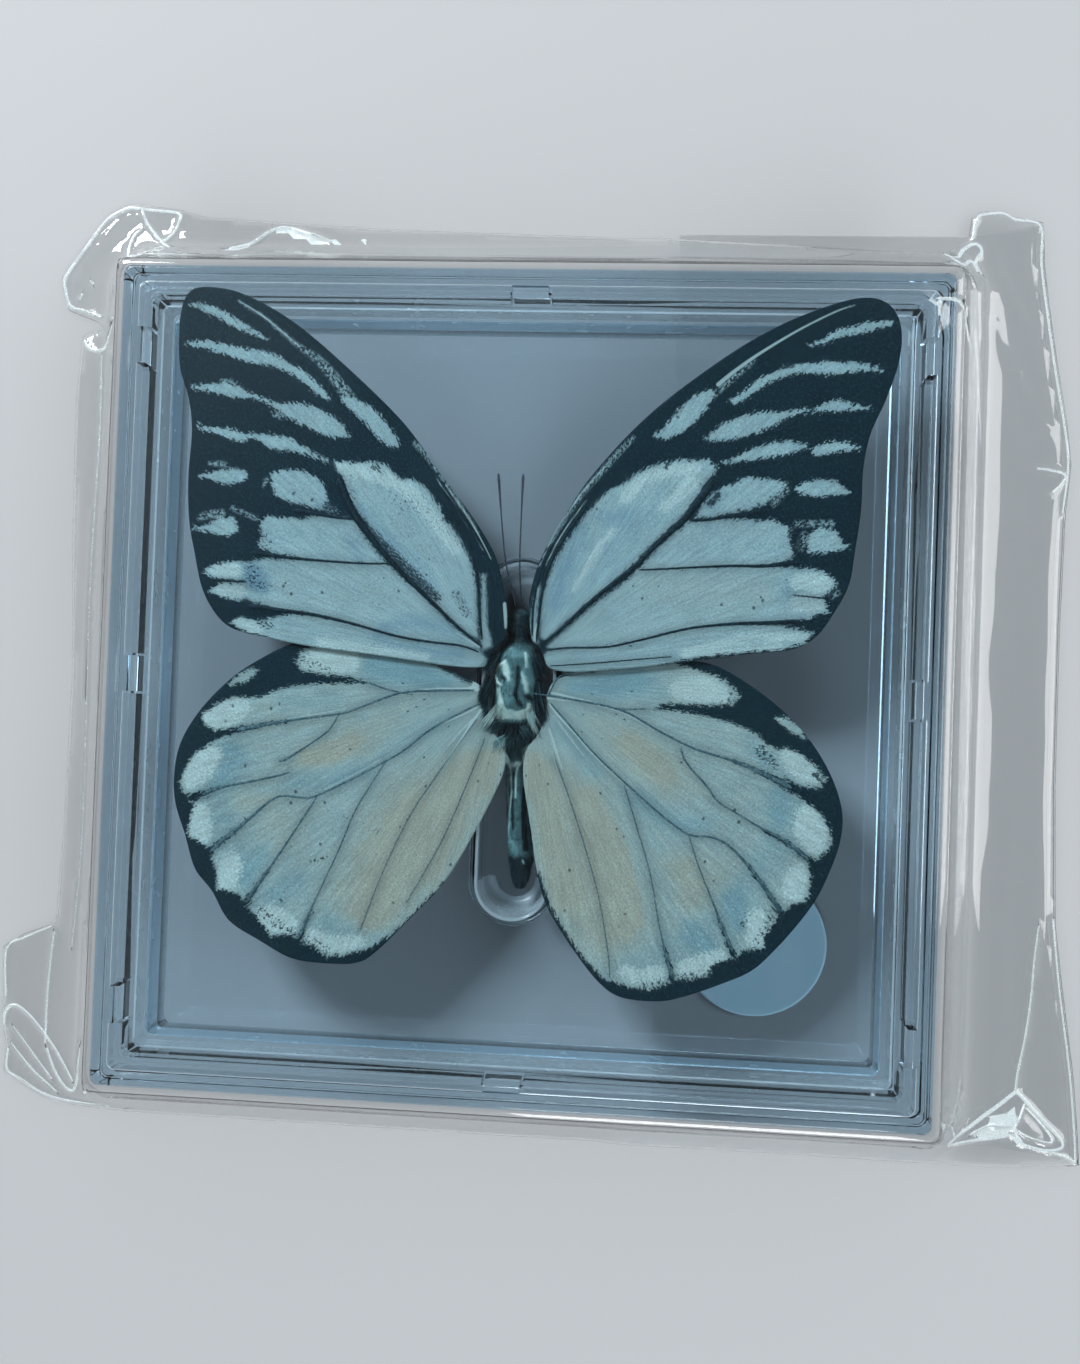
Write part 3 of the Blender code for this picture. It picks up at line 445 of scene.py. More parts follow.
# Black ground of the hindwings: the border, with the bar behind the front edge
LEFT_HINDWING_BORDER = (
    (-17.8, -0.2), (-20.2, 0.5), (-22.0, 0.6), (-24.5, 0.8), (-26.4, 1.1), (-27.2, 2.2),
    (-26.6, 3.3), (-25.0, 4.0), (-24.0, 6.0), (-29.0, 6.0), (-36.0, 2.0), (-42.0, -3.0),
    (-44.0, -12.0), (-43.0, -22.0), (-38.0, -30.0), (-31.0, -35.0), (-22.0, -36.5),
    (-16.0, -35.0), (-12.0, -31.0), (-7.0, -24.5), (-7.9, -23.8), (-12.4, -28.7),
    (-14.4, -30.6), (-16.5, -32.0), (-18.0, -32.6), (-19.3, -32.9), (-20.2, -33.4),
    (-20.9, -33.0), (-21.6, -33.6), (-22.5, -33.0), (-23.4, -32.3), (-24.6, -32.2),
    (-25.6, -31.3), (-27.0, -30.9), (-28.8, -31.4), (-29.7, -30.2), (-30.5, -29.2),
    (-31.8, -28.0), (-32.2, -27.2), (-33.2, -26.3), (-34.3, -26.1), (-35.8, -25.9),
    (-35.9, -24.0), (-36.5, -22.3), (-36.9, -21.4), (-37.3, -20.7), (-38.6, -20.1),
    (-39.7, -19.7), (-39.5, -17.5), (-39.0, -16.0), (-39.5, -15.3), (-40.6, -14.2),
    (-41.0, -13.0), (-40.2, -11.2), (-39.2, -9.6), (-37.5, -8.4), (-36.3, -7.7),
    (-35.0, -7.0), (-36.5, -6.6), (-37.4, -6.4), (-38.3, -5.7), (-38.4, -4.7),
    (-36.5, -3.3), (-34.4, -2.4), (-32.6, -2.5), (-31.2, -2.4), (-29.6, -1.5),
    (-27.2, -0.9), (-24.0, -0.5), (-20.0, -0.35),
)
RIGHT_HINDWING_BORDER = (
    (16.4, -2.0), (17.6, -1.4), (20.0, -1.3), (22.0, -1.4), (24.5, -1.3), (26.0, -1.1),
    (26.6, -0.2), (26.0, 0.6), (24.8, 1.6), (23.5, 2.2), (21.5, 2.7), (19.5, 3.3),
    (18.4, 3.7), (19.0, 6.0), (26.0, 4.0), (33.0, -1.0), (38.0, -6.0), (41.0, -13.0),
    (40.5, -19.0), (38.0, -25.0), (33.0, -32.0), (27.0, -37.0), (19.0, -39.0), (12.0, -38.5),
    (5.0, -29.0), (1.9, -22.0), (3.6, -22.2), (5.1, -26.2), (8.3, -30.9), (10.8, -33.6),
    (12.2, -34.6), (13.6, -34.8), (15.0, -35.2), (17.2, -35.4), (19.0, -34.6), (20.4, -34.0),
    (22.2, -33.9), (24.0, -33.3), (24.4, -32.1), (26.0, -31.4), (27.2, -30.9), (28.2, -30.2),
    (30.3, -29.8), (30.4, -28.3), (31.0, -27.4), (31.9, -25.9), (32.6, -25.4), (33.6, -24.4),
    (35.1, -24.1), (35.4, -23.2), (35.6, -21.0), (35.2, -19.9), (35.9, -19.2), (36.6, -18.7),
    (37.5, -17.9), (37.9, -17.0), (37.6, -15.6), (37.0, -14.3), (36.0, -13.3), (34.9, -12.5),
    (34.0, -11.9), (32.0, -9.6), (33.6, -10.3), (35.2, -10.7), (36.4, -10.6), (36.9, -9.4),
    (35.7, -8.2), (34.2, -6.9), (32.3, -6.1), (31.0, -6.3), (29.9, -5.7), (29.0, -4.9),
    (28.2, -4.3), (26.8, -3.8), (25.3, -3.3), (23.5, -2.9), (21.0, -2.45), (18.5, -2.25),
)
LEFT_HINDWING_ROOT = (
    (-2.6, 3.0), (-4.4, 2.6), (-4.75, 1.4), (-4.5, 0.6), (-4.5, -0.6), (-4.6, -1.8), (-4.2, -2.8),
    (-4.0, -3.9), (-3.6, -4.7), (-2.6, -5.0),
)
RIGHT_HINDWING_ROOT = (
    (2.0, 3.8), (3.3, 3.4), (3.5, 1.0), (3.7, -0.8), (3.6, -2.2), (3.9, -3.0), (3.9, -4.0),
    (3.3, -4.7), (2.2, -4.6),
)
LEFT_HINDWING_BASE_SHADE = (
    (-10.2, 3.2), (-5.0, 2.6), (-4.4, 0.0), (-6.2, 0.3), (-7.6, 1.0), (-9.0, 1.6),
)

# Pale ovals inside the black, and the black ends of the veins
LEFT_HINDWING_STREAKS = (
    ((-35.1, -0.8, 0.15), (-34.2, -0.35, 0.45), (-33.2, 0.2, 0.55), (-32.3, 0.75, 0.35),
     (-32.0, 0.9, 0.1)),
)
RIGHT_HINDWING_STREAKS = (
    ((31.0, -2.7, 0.15), (32.0, -3.0, 0.45), (33.0, -3.7, 0.5), (34.0, -4.5, 0.35),
     (34.3, -4.8, 0.1)),
)
LEFT_HINDWING_BLACK_VEINS = (
    ((-28.0, -5.2, 0.12), (-31.0, -5.8, 0.2), (-34.0, -6.5, 0.35), (-36.5, -7.1, 0.55),
     (-39.0, -7.9, 0.9)),
    ((-35.9, -13.6, 0.12), (-37.5, -14.3, 0.3), (-39.5, -15.0, 0.6)),
    ((-33.1, -18.2, 0.15), (-35.3, -20.0, 0.25), (-37.2, -21.6, 0.5)),
    ((-29.5, -23.4, 0.12), (-30.7, -25.2, 0.2), (-32.0, -27.5, 0.4)),
    ((-23.9, -28.0, 0.1), (-24.7, -30.0, 0.2), (-25.3, -31.6, 0.3)),
)
RIGHT_HINDWING_BLACK_VEINS = (
    ((26.2, -7.9, 0.15), (28.0, -8.5, 0.2), (30.0, -9.4, 0.3), (32.5, -10.5, 0.5),
     (35.0, -11.7, 0.7)),
    ((29.7, -15.9, 0.12), (32.5, -17.2, 0.2), (34.5, -18.6, 0.3), (36.2, -19.8, 0.5)),
    ((28.3, -20.2, 0.15), (30.0, -22.3, 0.2), (31.2, -24.0, 0.25), (32.3, -25.6, 0.4)),
    ((24.9, -26.5, 0.12), (25.9, -28.8, 0.2), (27.0, -31.0, 0.4)),
    ((18.7, -30.2, 0.1), (19.2, -31.8, 0.2), (19.9, -34.2, 0.3)),
)

# Brighter white patches along the hindwings' borders: x, y and half width along each
LEFT_HINDWING_WHITES = (
    ((-37.6, -5.2, 1.0), (-35.6, -4.6, 1.6), (-33.7, -3.8, 1.2)),
    ((-37.0, -9.6, 1.1), (-38.3, -11.2, 1.6), (-39.6, -13.0, 0.9)),
    ((-38.2, -16.8, 1.2), (-38.2, -18.6, 1.4), (-37.6, -19.6, 0.8)),
    ((-34.2, -23.0, 1.5), (-34.4, -24.8, 1.3)),
    ((-30.0, -28.8, 0.9), (-28.6, -29.2, 1.6), (-26.8, -29.8, 1.2)),
    ((-23.8, -31.0, 0.9), (-21.5, -31.9, 1.0), (-18.0, -31.5, 0.8)),
    ((-25.6, 2.2, 0.9), (-23.0, 2.4, 1.5), (-20.6, 2.2, 1.3)),
)
RIGHT_HINDWING_WHITES = (
    ((32.6, -7.0, 0.9), (34.0, -8.3, 1.4), (35.6, -9.5, 0.8)),
    ((34.8, -13.8, 1.1), (35.4, -15.8, 1.9), (36.0, -17.4, 1.0)),
    ((34.0, -21.0, 1.3), (33.6, -22.8, 1.3)),
    ((29.4, -26.4, 1.1), (29.6, -28.4, 1.3)),
    ((25.2, -31.2, 0.9), (23.2, -32.2, 1.3), (21.2, -32.6, 0.9)),
    ((18.0, -33.4, 1.0), (16.0, -34.0, 0.9), (14.2, -33.4, 0.8)),
    ((19.6, 0.4, 1.2), (22.2, 0.5, 1.7), (24.6, -0.2, 0.9)),
)
LEFT_FOREWING_WHITES = (
    ((-22.5, 25.8, 0.8), (-19.0, 25.2, 0.9), (-14.0, 23.2, 0.8), (-8.0, 16.4, 0.7)),
    ((-34.5, 6.7, 0.8), (-32.0, 5.9, 0.7)),
    ((-37.4, 12.9, 0.9), (-35.0, 13.0, 0.9)),
    ((-36.6, 10.5, 0.8), (-34.4, 10.5, 0.8)),
    ((-24.0, 4.5, 0.6), (-15.0, 3.6, 0.5), (-11.0, 3.2, 0.4)),
)
# Painted highlights on the right forewing: the first stroke, a streak in the cell, and the fifth, along a
# fold by the rear edge
RIGHT_FOREWING_WHITES = (
    ((6.5, 11.9, 0.3), (8.0, 14.7, 0.4), (9.2, 17.0, 0.4), (10.9, 19.0, 0.3)),
    ((12.2, 23.0, 0.7), (15.0, 25.6, 0.7), (20.5, 26.9, 0.6)),
    ((33.0, 13.6, 1.0), (35.6, 13.4, 1.1)),
    ((33.0, 10.9, 0.9), (35.2, 10.8, 0.8)),
    ((20.0, 4.9, 0.35), (25.0, 6.2, 0.4), (28.0, 6.9, 0.4), (31.5, 7.0, 0.5), (34.0, 7.0, 0.5)),
    ((20.0, 4.3, 0.3), (27.0, 5.3, 0.3), (31.0, 5.8, 0.4)),
    ((17.0, 22.0, 0.6), (20.0, 25.0, 0.8)),
)

# Painted highlights: fine pale lines along the edges of veins and folds, and along the forewings' front
# edges
LEFT_FOREWING_PAINTED_HIGHLIGHTS = (
    ((-35.9, 46.1, 0.05), (-33.0, 44.4, 0.1), (-30.6, 42.6, 0.08), (-28.0, 40.5, 0.06)),
    ((-1.75, 9.9, 0.2), (-1.6, 8.4, 0.2), (-1.5, 7.0, 0.14)),
    ((-3.6, 15.2, 0.06), (-6.0, 19.4, 0.08), (-9.4, 24.0, 0.06)),
    ((-4.6, 16.2, 0.05), (-7.4, 20.4, 0.07), (-10.6, 24.8, 0.05)),
    ((-4.6, 4.6, 0.1), (-5.6, 5.2, 0.08), (-7.4, 6.2, 0.06)),
)
RIGHT_FOREWING_PAINTED_HIGHLIGHTS = (
    ((38.5, 46.5, 0.05), (36.5, 45.8, 0.09), (33.0, 44.0, 0.11), (30.0, 42.2, 0.13),
     (27.0, 40.2, 0.17), (24.5, 38.3, 0.2), (22.8, 36.8, 0.24)),
    ((2.2, 14.4, 0.05), (4.0, 18.6, 0.08), (7.0, 23.4, 0.08), (9.6, 26.6, 0.05)),
    ((3.0, 14.6, 0.05), (4.8, 18.4, 0.07), (7.6, 22.6, 0.05)),
    ((2.1, 5.4, 0.1), (2.0, 6.6, 0.12), (2.2, 7.6, 0.08)),
)
LEFT_HINDWING_PAINTED_HIGHLIGHTS = (
    ((-14.0, -1.1, 0.04), (-9.6, -0.55, 0.08), (-7.0, -0.5, 0.13), (-5.4, -0.35, 0.2), (-5.0, 0.3, 0.3),
     (-4.8, -0.5, 0.25)),
    ((-5.9, 2.0, 0.08), (-5.4, 1.1, 0.16), (-5.0, 0.3, 0.2)),
    ((-4.2, -2.9, 0.12), (-5.2, -4.5, 0.14), (-6.8, -7.2, 0.12), (-8.6, -10.0, 0.05)),
    ((-4.6, -2.6, 0.08), (-6.4, -3.6, 0.1), (-9.4, -5.0, 0.06)),
    ((-4.5, -3.4, 0.06), (-6.0, -5.0, 0.08), (-8.0, -7.4, 0.05)),
    ((-16.2, -9.4, 0.04), (-20.0, -11.7, 0.06), (-23.0, -13.3, 0.04)),
    ((-28.4, -5.0, 0.04), (-24.4, -4.2, 0.06), (-20.6, -3.4, 0.05)),
)
RIGHT_HINDWING_PAINTED_HIGHLIGHTS = (
    ((3.6, -1.2, 0.12), (5.0, -1.35, 0.08), (6.6, -1.5, 0.05)),
    ((4.2, -0.6, 0.1), (5.0, -0.7, 0.12), (7.0, -1.1, 0.1), (9.6, -1.6, 0.05)),
    ((6.2, 2.3, 0.08), (5.0, 1.4, 0.12), (4.2, 0.2, 0.14), (4.1, -0.4, 0.1)),
    ((4.0, -1.9, 0.1), (5.4, -3.5, 0.16), (7.2, -5.3, 0.12), (9.6, -7.9, 0.08), (12.8, -10.7, 0.05)),
    ((4.1, -4.9, 0.1), (5.0, -7.4, 0.12), (5.9, -9.8, 0.06)),
    ((4.6, -3.2, 0.06), (6.4, -5.6, 0.08), (8.4, -8.0, 0.05)),
    ((16.6, -4.6, 0.04), (13.0, -2.7, 0.07), (9.4, -1.8, 0.05)),
)

# Tints over whole areas: outline, strength (cool above nothing, cream below) and soft width
LEFT_HINDWING_TINTS = (
    (((-2.5, -7.5), (-9.0, -9.5), (-15.0, -12.5), (-19.0, -19.0), (-21.5, -26.0), (-20.0, -29.5),
      (-13.4, -29.0), (-8.0, -23.5), (-4.5, -17.5), (-2.0, -12.0)), -0.95, 1.6),
    (((-1.2, -7.6), (-4.4, -7.8), (-5.0, -12.5), (-2.6, -13.0)), -0.8, 0.7),
    (((-14.0, -3.6), (-21.0, -5.4), (-28.0, -10.4), (-25.0, -12.6), (-17.0, -9.0)), -0.5, 0.8),
    (((-25.6, -14.4), (-32.0, -17.4), (-28.6, -22.0), (-24.8, -19.0)), -0.35, 0.9),
    (((-36.0, -7.0), (-33.0, -6.6), (-34.0, -15.0), (-31.6, -24.0), (-27.0, -28.0), (-20.0, -31.0),
      (-14.0, -30.0), (-17.0, -32.4), (-28.0, -30.6), (-36.0, -24.0), (-39.0, -16.0)), 0.55, 1.0),
    (((-5.0, 2.0), (-17.0, 3.4), (-20.0, 0.6), (-16.0, -1.0), (-6.0, -0.4)), 0.5, 0.6),
)
RIGHT_HINDWING_TINTS = (
    (((2.2, -8.0), (6.0, -9.0), (10.0, -12.0), (13.0, -18.0), (15.0, -24.0), (15.5, -30.0),
      (12.0, -32.4), (8.0, -30.0), (4.5, -25.0), (3.0, -18.0)), -0.95, 1.6),
    (((1.0, -7.8), (3.0, -8.0), (2.9, -13.4), (1.8, -13.4)), -0.9, 0.6),
    (((8.4, -3.4), (13.0, -3.6), (19.6, -7.6), (22.6, -12.0), (18.0, -13.0), (12.0, -8.6)), -0.6, 0.8),
    (((22.6, -18.4), (27.6, -20.4), (24.6, -25.6), (20.0, -27.0), (18.4, -21.0)), -0.4, 0.9),
    (((31.0, -7.6), (34.0, -9.0), (34.6, -16.0), (31.0, -23.0), (27.0, -29.0), (20.0, -33.0),
      (13.6, -33.6), (14.0, -31.4), (20.0, -29.0), (26.0, -23.0), (31.0, -14.0)), 0.5, 1.0),
    (((5.4, 1.6), (9.4, 1.8), (17.0, 2.6), (18.0, -0.6), (12.0, -1.6), (5.6, -0.6)), 0.55, 0.6),
)
LEFT_FOREWING_TINTS = (
    (((-4.6, 4.6), (-15.0, 5.6), (-26.0, 7.8), (-31.0, 8.6), (-30.0, 13.6), (-15.0, 13.6)), -0.25, 0.9),
)
RIGHT_FOREWING_TINTS = (
    (((3.6, 4.6), (14.0, 6.0), (28.0, 8.6), (31.0, 14.4), (14.0, 14.4)), -0.3, 0.9),
    (((3.0, 7.0), (12.0, 14.6), (20.0, 24.0), (12.0, 22.0), (5.0, 15.0)), 0.35, 0.9),
)

# Cool grey-blue shading, and cream shading where the value is negative
LEFT_FOREWING_SHADES = (
    (((-16.6, 6.4, 0.6), (-13.0, 7.4, 1.0), (-9.0, 6.6, 0.8), (-7.0, 5.6, 0.4)), 1.0),
    (((-17.0, 4.6, 0.8), (-12.0, 3.9, 0.8), (-7.0, 3.6, 0.7)), 0.8),
    (((-33.0, 13.4, 1.0), (-32.2, 11.9, 1.3), (-31.4, 10.9, 0.8)), 1.3),
    (((-20.4, 16.6, 0.7), (-19.6, 15.4, 0.6)), 0.7),
    (((-20.0, 20.8, 0.8), (-15.0, 15.4, 1.2), (-11.0, 11.6, 0.8)), 0.8),
    (((-23.0, 20.9, 0.9), (-24.6, 21.0, 0.6)), 0.9),
)
RIGHT_FOREWING_SHADES = (
    (((7.0, 19.0, 0.8), (5.4, 15.0, 0.9), (4.0, 10.0, 0.8)), 0.7),
    (((12.0, 21.0, 0.9), (9.6, 20.6, 0.8)), 0.6),
    (((32.0, 13.8, 0.8), (31.6, 12.4, 0.8)), 0.6),
    (((16.0, 13.0, 2.0), (24.0, 12.0, 1.6), (29.0, 12.0, 1.2)), -0.5),
    (((10.6, 8.4, 0.3), (12.0, 9.3, 0.3)), 0.7),
    (((22.6, 22.6, 0.5), (23.4, 23.6, 0.4)), 1.0),
)
LEFT_HINDWING_SHADES = (
    (((-35.0, -9.0, 1.0), (-34.2, -10.4, 1.6), (-36.0, -12.6, 0.9)), 0.7),
    (((-18.0, -10.6, 1.0), (-24.0, -12.2, 1.3), (-27.0, -12.6, 0.9)), 0.9),
    (((-8.0, -4.0, 0.8), (-12.0, -6.4, 0.9), (-16.0, -9.0, 0.6)), 0.6),
    (((-30.6, -21.8, 1.2), (-32.2, -24.0, 1.2)), 0.9),
    (((-26.0, -24.6, 1.2), (-28.0, -26.0, 1.2)), 0.8),
    (((-22.0, -29.0, 1.0), (-19.6, -30.2, 1.0)), 0.8),
    (((-28.0, -2.4, 1.3), (-22.0, -2.6, 1.0)), 0.4),
    (((-17.6, 2.4, 1.6), (-13.0, 1.2, 1.4), (-9.0, 0.2, 0.9)), 0.9),
    (((-19.6, -7.4, 0.8), (-23.0, -9.0, 1.0), (-25.6, -9.4, 0.6)), -1.2),
    (((-30.0, -15.0, 0.8), (-34.0, -15.2, 0.9)), -0.6),
    (((-12.0, -15.0, 1.4), (-14.0, -21.0, 2.2), (-16.6, -28.0, 2.0)), -1.0),
    (((-6.0, -9.0, 1.2), (-8.0, -16.0, 1.8), (-10.0, -22.0, 1.6)), -0.6),
)
RIGHT_HINDWING_SHADES = (
    (((31.0, -12.4, 1.2), (31.6, -14.6, 1.2)), 0.8),
    (((15.0, -12.6, 1.0), (19.0, -15.4, 1.1), (23.0, -15.6, 0.9)), 0.9),
    (((30.0, -8.0, 0.9), (28.6, -6.4, 0.8)), 0.9),
    (((26.6, -24.0, 1.2), (27.4, -27.0, 1.0)), 0.9),
    (((22.0, -28.4, 1.2), (24.0, -30.4, 1.0)), 0.9),
    (((14.0, 1.4, 1.6), (10.0, 0.6, 1.2), (7.0, 0.2, 0.7)), 0.9),
    (((14.0, -6.4, 1.3), (18.0, -9.6, 1.2)), -1.0),
    (((9.0, -13.0, 1.2), (12.0, -20.0, 2.2), (14.0, -27.0, 2.2)), -1.0),
    (((20.0, -20.0, 1.6), (22.0, -24.0, 1.4)), -0.6),
    (((3.2, -10.0, 0.9), (4.6, -17.0, 1.2), (7.0, -25.0, 1.4)), -0.9),
    (((5.0, -4.4, 0.7), (9.6, -9.6, 0.8)), 0.8),
)

# Scattered dark scales over the pale ground: x, y and half width, with their thickness
LEFT_FOREWING_DUST = (
    (((-21.0, 20.9, 0.4), (-18.2, 17.6, 0.9), (-14.4, 13.9, 1.1), (-10.0, 10.4, 0.7)), 0.8),
    (((-22.0, 24.6, 0.3), (-20.6, 22.2, 0.5)), 0.5),
    (((-15.8, 22.4, 1.2), (-11.6, 21.0, 1.4), (-8.2, 18.0, 0.8), (-6.4, 15.4, 0.4)), 0.35),
    (((-15.0, 19.4, 1.6), (-10.4, 14.4, 1.6)), 0.25),
    (((-7.6, 10.9, 0.8), (-6.3, 8.6, 0.7)), 0.55),
    (((-18.2, 26.0, 0.6), (-17.4, 25.4, 0.4)), 0.7),
    (((-33.0, 13.2, 0.9), (-32.4, 11.6, 1.0), (-30.9, 11.0, 0.6)), 0.5),
    (((-31.0, 16.4, 0.9), (-32.0, 18.0, 0.6)), 0.45),
    (((-23.4, 21.0, 1.0), (-22.0, 21.4, 0.7)), 0.8),
    (((-31.6, 6.8, 0.7), (-30.4, 6.4, 0.6)), 0.6),
    (((-18.0, 9.6, 0.4), (-16.2, 8.9, 0.4)), 0.35),
    (((-20.0, 12.6, 0.8), (-17.0, 12.0, 0.8)), 0.25),
)
RIGHT_FOREWING_DUST = (
    (((32.3, 19.4, 0.9), (32.6, 17.6, 0.7)), 0.8),
    (((23.2, 23.7, 0.5), (22.4, 22.6, 0.5)), 0.9),
    (((16.2, 17.2, 0.5), (19.0, 20.2, 0.6), (20.8, 23.0, 0.5)), 0.35),
    (((36.6, 11.9, 0.5), (37.3, 13.2, 0.3)), 0.8),
    (((27.6, 22.0, 0.5), (30.2, 23.6, 0.7)), 0.5),
    (((17.2, 27.2, 0.5), (16.9, 26.7, 0.3)), 0.8),
    (((32.0, 14.4, 0.5), (31.2, 13.6, 0.4)), 0.3),
    (((7.2, 18.2, 0.7), (8.8, 21.0, 0.6)), 0.25),
)
LEFT_HINDWING_DUST = (
    (((-22.0, -16.0, 0.2), (-15.6, -18.4, 0.3)), 0.5),
    (((-24.0, -22.0, 0.3), (-22.4, -21.6, 0.3)), 0.7),
    (((-30.0, -28.6, 0.9), (-26.0, -31.0, 0.8), (-22.0, -32.6, 0.8)), 0.5),
    (((-26.8, 2.4, 0.8), (-22.0, 1.0, 0.4)), 0.5),
    (((-8.0, -12.0, 1.2), (-12.0, -20.0, 1.6), (-16.0, -28.0, 1.2)), 0.12),
    (((-27.6, -25.0, 0.6), (-27.0, -26.2, 0.5)), 0.3),
)
RIGHT_HINDWING_DUST = (
    (((29.4, -6.6, 0.9), (31.0, -8.2, 0.6)), 0.6),
    (((35.8, -9.2, 0.6), (36.4, -9.8, 0.4)), 0.8),
    (((26.0, -0.6, 0.6), (24.6, -1.2, 0.4)), 0.5),
    (((31.6, -24.8, 0.8), (29.0, -30.0, 0.5), (24.0, -33.0, 0.7), (16.0, -35.0, 0.7)), 0.5),
    (((28.4, -26.0, 0.6), (27.6, -28.0, 0.6)), 0.35),
    (((9.0, -20.0, 1.6), (14.0, -30.0, 1.6)), 0.1),
)

# Raised veins: x, y and half width along each
LEFT_FOREWING_VEINS = (
    ((-4.4, 4.7, 0.1), (-5.6, 5.6, 0.12), (-7.6, 7.2, 0.14), (-10.3, 9.6, 0.2),
     (-13.4, 12.4, 0.27), (-16.7, 15.6, 0.3), (-19.8, 19.3, 0.42), (-21.3, 21.7, 0.45),
     (-22.6, 24.6, 0.5)),
    ((-4.3, 5.6, 0.1), (-4.65, 8.0, 0.12), (-4.85, 10.5, 0.14), (-5.15, 13.2, 0.16),
     (-6.0, 16.2, 0.16), (-7.6, 19.2, 0.16), (-9.8, 22.6, 0.14)),
    ((-15.9, 14.35, 0.08), (-19.0, 14.25, 0.1), (-23.5, 14.4, 0.12), (-27.6, 14.65, 0.15),
     (-30.4, 14.9, 0.2), (-33.0, 15.2, 0.25)),
    ((-20.4, 19.6, 0.12), (-22.6, 19.75, 0.14), (-25.0, 20.1, 0.18), (-28.0, 20.5, 0.3)),
    ((-4.7, 4.0, 0.08), (-6.9, 4.7, 0.1), (-10.4, 5.0, 0.11), (-14.8, 5.6, 0.12),
     (-20.1, 6.9, 0.14), (-25.0, 7.85, 0.18), (-29.0, 8.25, 0.22), (-33.1, 8.7, 0.3)),
    ((-33.6, 11.6, 0.08), (-35.6, 11.65, 0.1), (-37.8, 11.7, 0.12)),
    ((-2.9, 6.4, 0.1), (-3.1, 10.0, 0.12), (-3.9, 14.0, 0.12), (-6.4, 19.0, 0.12),
     (-10.2, 24.0, 0.1)),
    ((-2.2, 7.0, 0.1), (-2.5, 11.0, 0.1), (-4.2, 16.0, 0.1), (-7.6, 21.2, 0.1)),
)
RIGHT_FOREWING_VEINS = (
    ((2.8, 5.2, 0.1), (4.4, 6.4, 0.14), (6.2, 8.1, 0.18), (8.0, 9.9, 0.22),
     (10.0, 11.7, 0.22), (12.0, 13.4, 0.24), (14.0, 15.1, 0.27), (16.0, 17.4, 0.3),
     (18.0, 19.3, 0.32), (19.4, 20.7, 0.35), (20.5, 22.3, 0.4), (21.7, 23.9, 0.42),
     (22.6, 25.3, 0.5)),
    ((2.2, 5.4, 0.1), (2.45, 8.4, 0.13), (2.75, 11.6, 0.15), (3.6, 15.0, 0.16),
     (5.4, 18.6, 0.16), (7.8, 22.0, 0.14)),
    ((14.2, 14.4, 0.07), (17.0, 14.6, 0.09), (20.0, 14.85, 0.1), (25.0, 15.2, 0.13),
     (29.0, 15.3, 0.18), (31.0, 15.6, 0.25), (33.0, 15.9, 0.3)),
    ((20.1, 20.5, 0.12), (22.0, 20.6, 0.15), (24.0, 21.0, 0.18), (26.0, 21.3, 0.25),
     (28.4, 21.7, 0.3)),
    ((3.4, 4.5, 0.07), (6.0, 4.85, 0.09), (10.6, 5.1, 0.1), (14.8, 6.1, 0.11),
     (20.2, 7.6, 0.12), (25.6, 8.35, 0.16), (29.0, 8.55, 0.2), (33.0, 8.8, 0.28)),
    ((32.4, 11.95, 0.05), (34.4, 11.8, 0.07), (36.0, 11.7, 0.08)),
    ((1.7, 6.2, 0.1), (1.75, 10.0, 0.12), (2.6, 14.6, 0.12), (4.9, 19.0, 0.12),
     (8.6, 24.4, 0.1)),
    ((3.9, 2.6, 0.05), (9.0, 3.1, 0.06), (14.0, 3.7, 0.06), (18.4, 4.2, 0.05)),
)
LEFT_HINDWING_VEINS = (
    ((-5.3, -0.6, 0.12), (-9.6, -0.8, 0.12), (-14.2, -1.3, 0.11), (-19.7, -3.5, 0.1),
     (-21.8, -4.1, 0.1), (-26.4, -4.9, 0.12), (-30.1, -5.6, 0.17), (-34.0, -6.5, 0.25)),
    ((-21.5, -4.2, 0.06), (-22.6, -6.0, 0.07), (-24.0, -7.2, 0.08), (-27.6, -9.7, 0.1),
     (-28.6, -10.1, 0.1)),
    ((-27.4, -11.4, 0.08), (-28.9, -11.9, 0.1), (-32.5, -12.8, 0.11), (-35.9, -13.6, 0.15),
     (-38.0, -14.5, 0.25)),
    ((-4.1, -2.0, 0.1), (-9.9, -5.3, 0.1), (-12.9, -7.8, 0.1), (-15.1, -9.3, 0.09),
     (-20.0, -12.1, 0.09), (-23.7, -14.0, 0.1), (-25.2, -14.4, 0.1), (-28.2, -14.3, 0.1),
     (-30.1, -15.4, 0.12), (-33.1, -18.2, 0.17), (-35.3, -20.0, 0.2), (-36.8, -21.5, 0.25)),
    ((-23.9, -14.4, 0.07), (-26.4, -18.5, 0.09), (-28.9, -22.5, 0.12), (-30.7, -25.2, 0.17),
     (-32.0, -27.4, 0.22)),
    ((-15.4, -9.4, 0.05), (-17.2, -12.4, 0.06), (-19.1, -15.9, 0.07), (-20.9, -20.6, 0.07),
     (-22.1, -23.4, 0.06), (-23.2, -26.0, 0.06), (-24.3, -28.6, 0.1), (-25.2, -31.2, 0.15)),
    ((-4.7, -4.1, 0.05), (-9.3, -11.1, 0.05), (-12.3, -16.0, 0.05), (-15.4, -23.0, 0.04),
     (-17.8, -30.0, 0.05)),
    ((-3.6, -6.4, 0.05), (-5.6, -12.0, 0.05), (-8.4, -19.0, 0.05), (-12.4, -26.6, 0.04)),
    ((-17.8, -0.2, 0.08), (-15.6, -0.9, 0.07), (-12.6, -1.4, 0.05)),
)
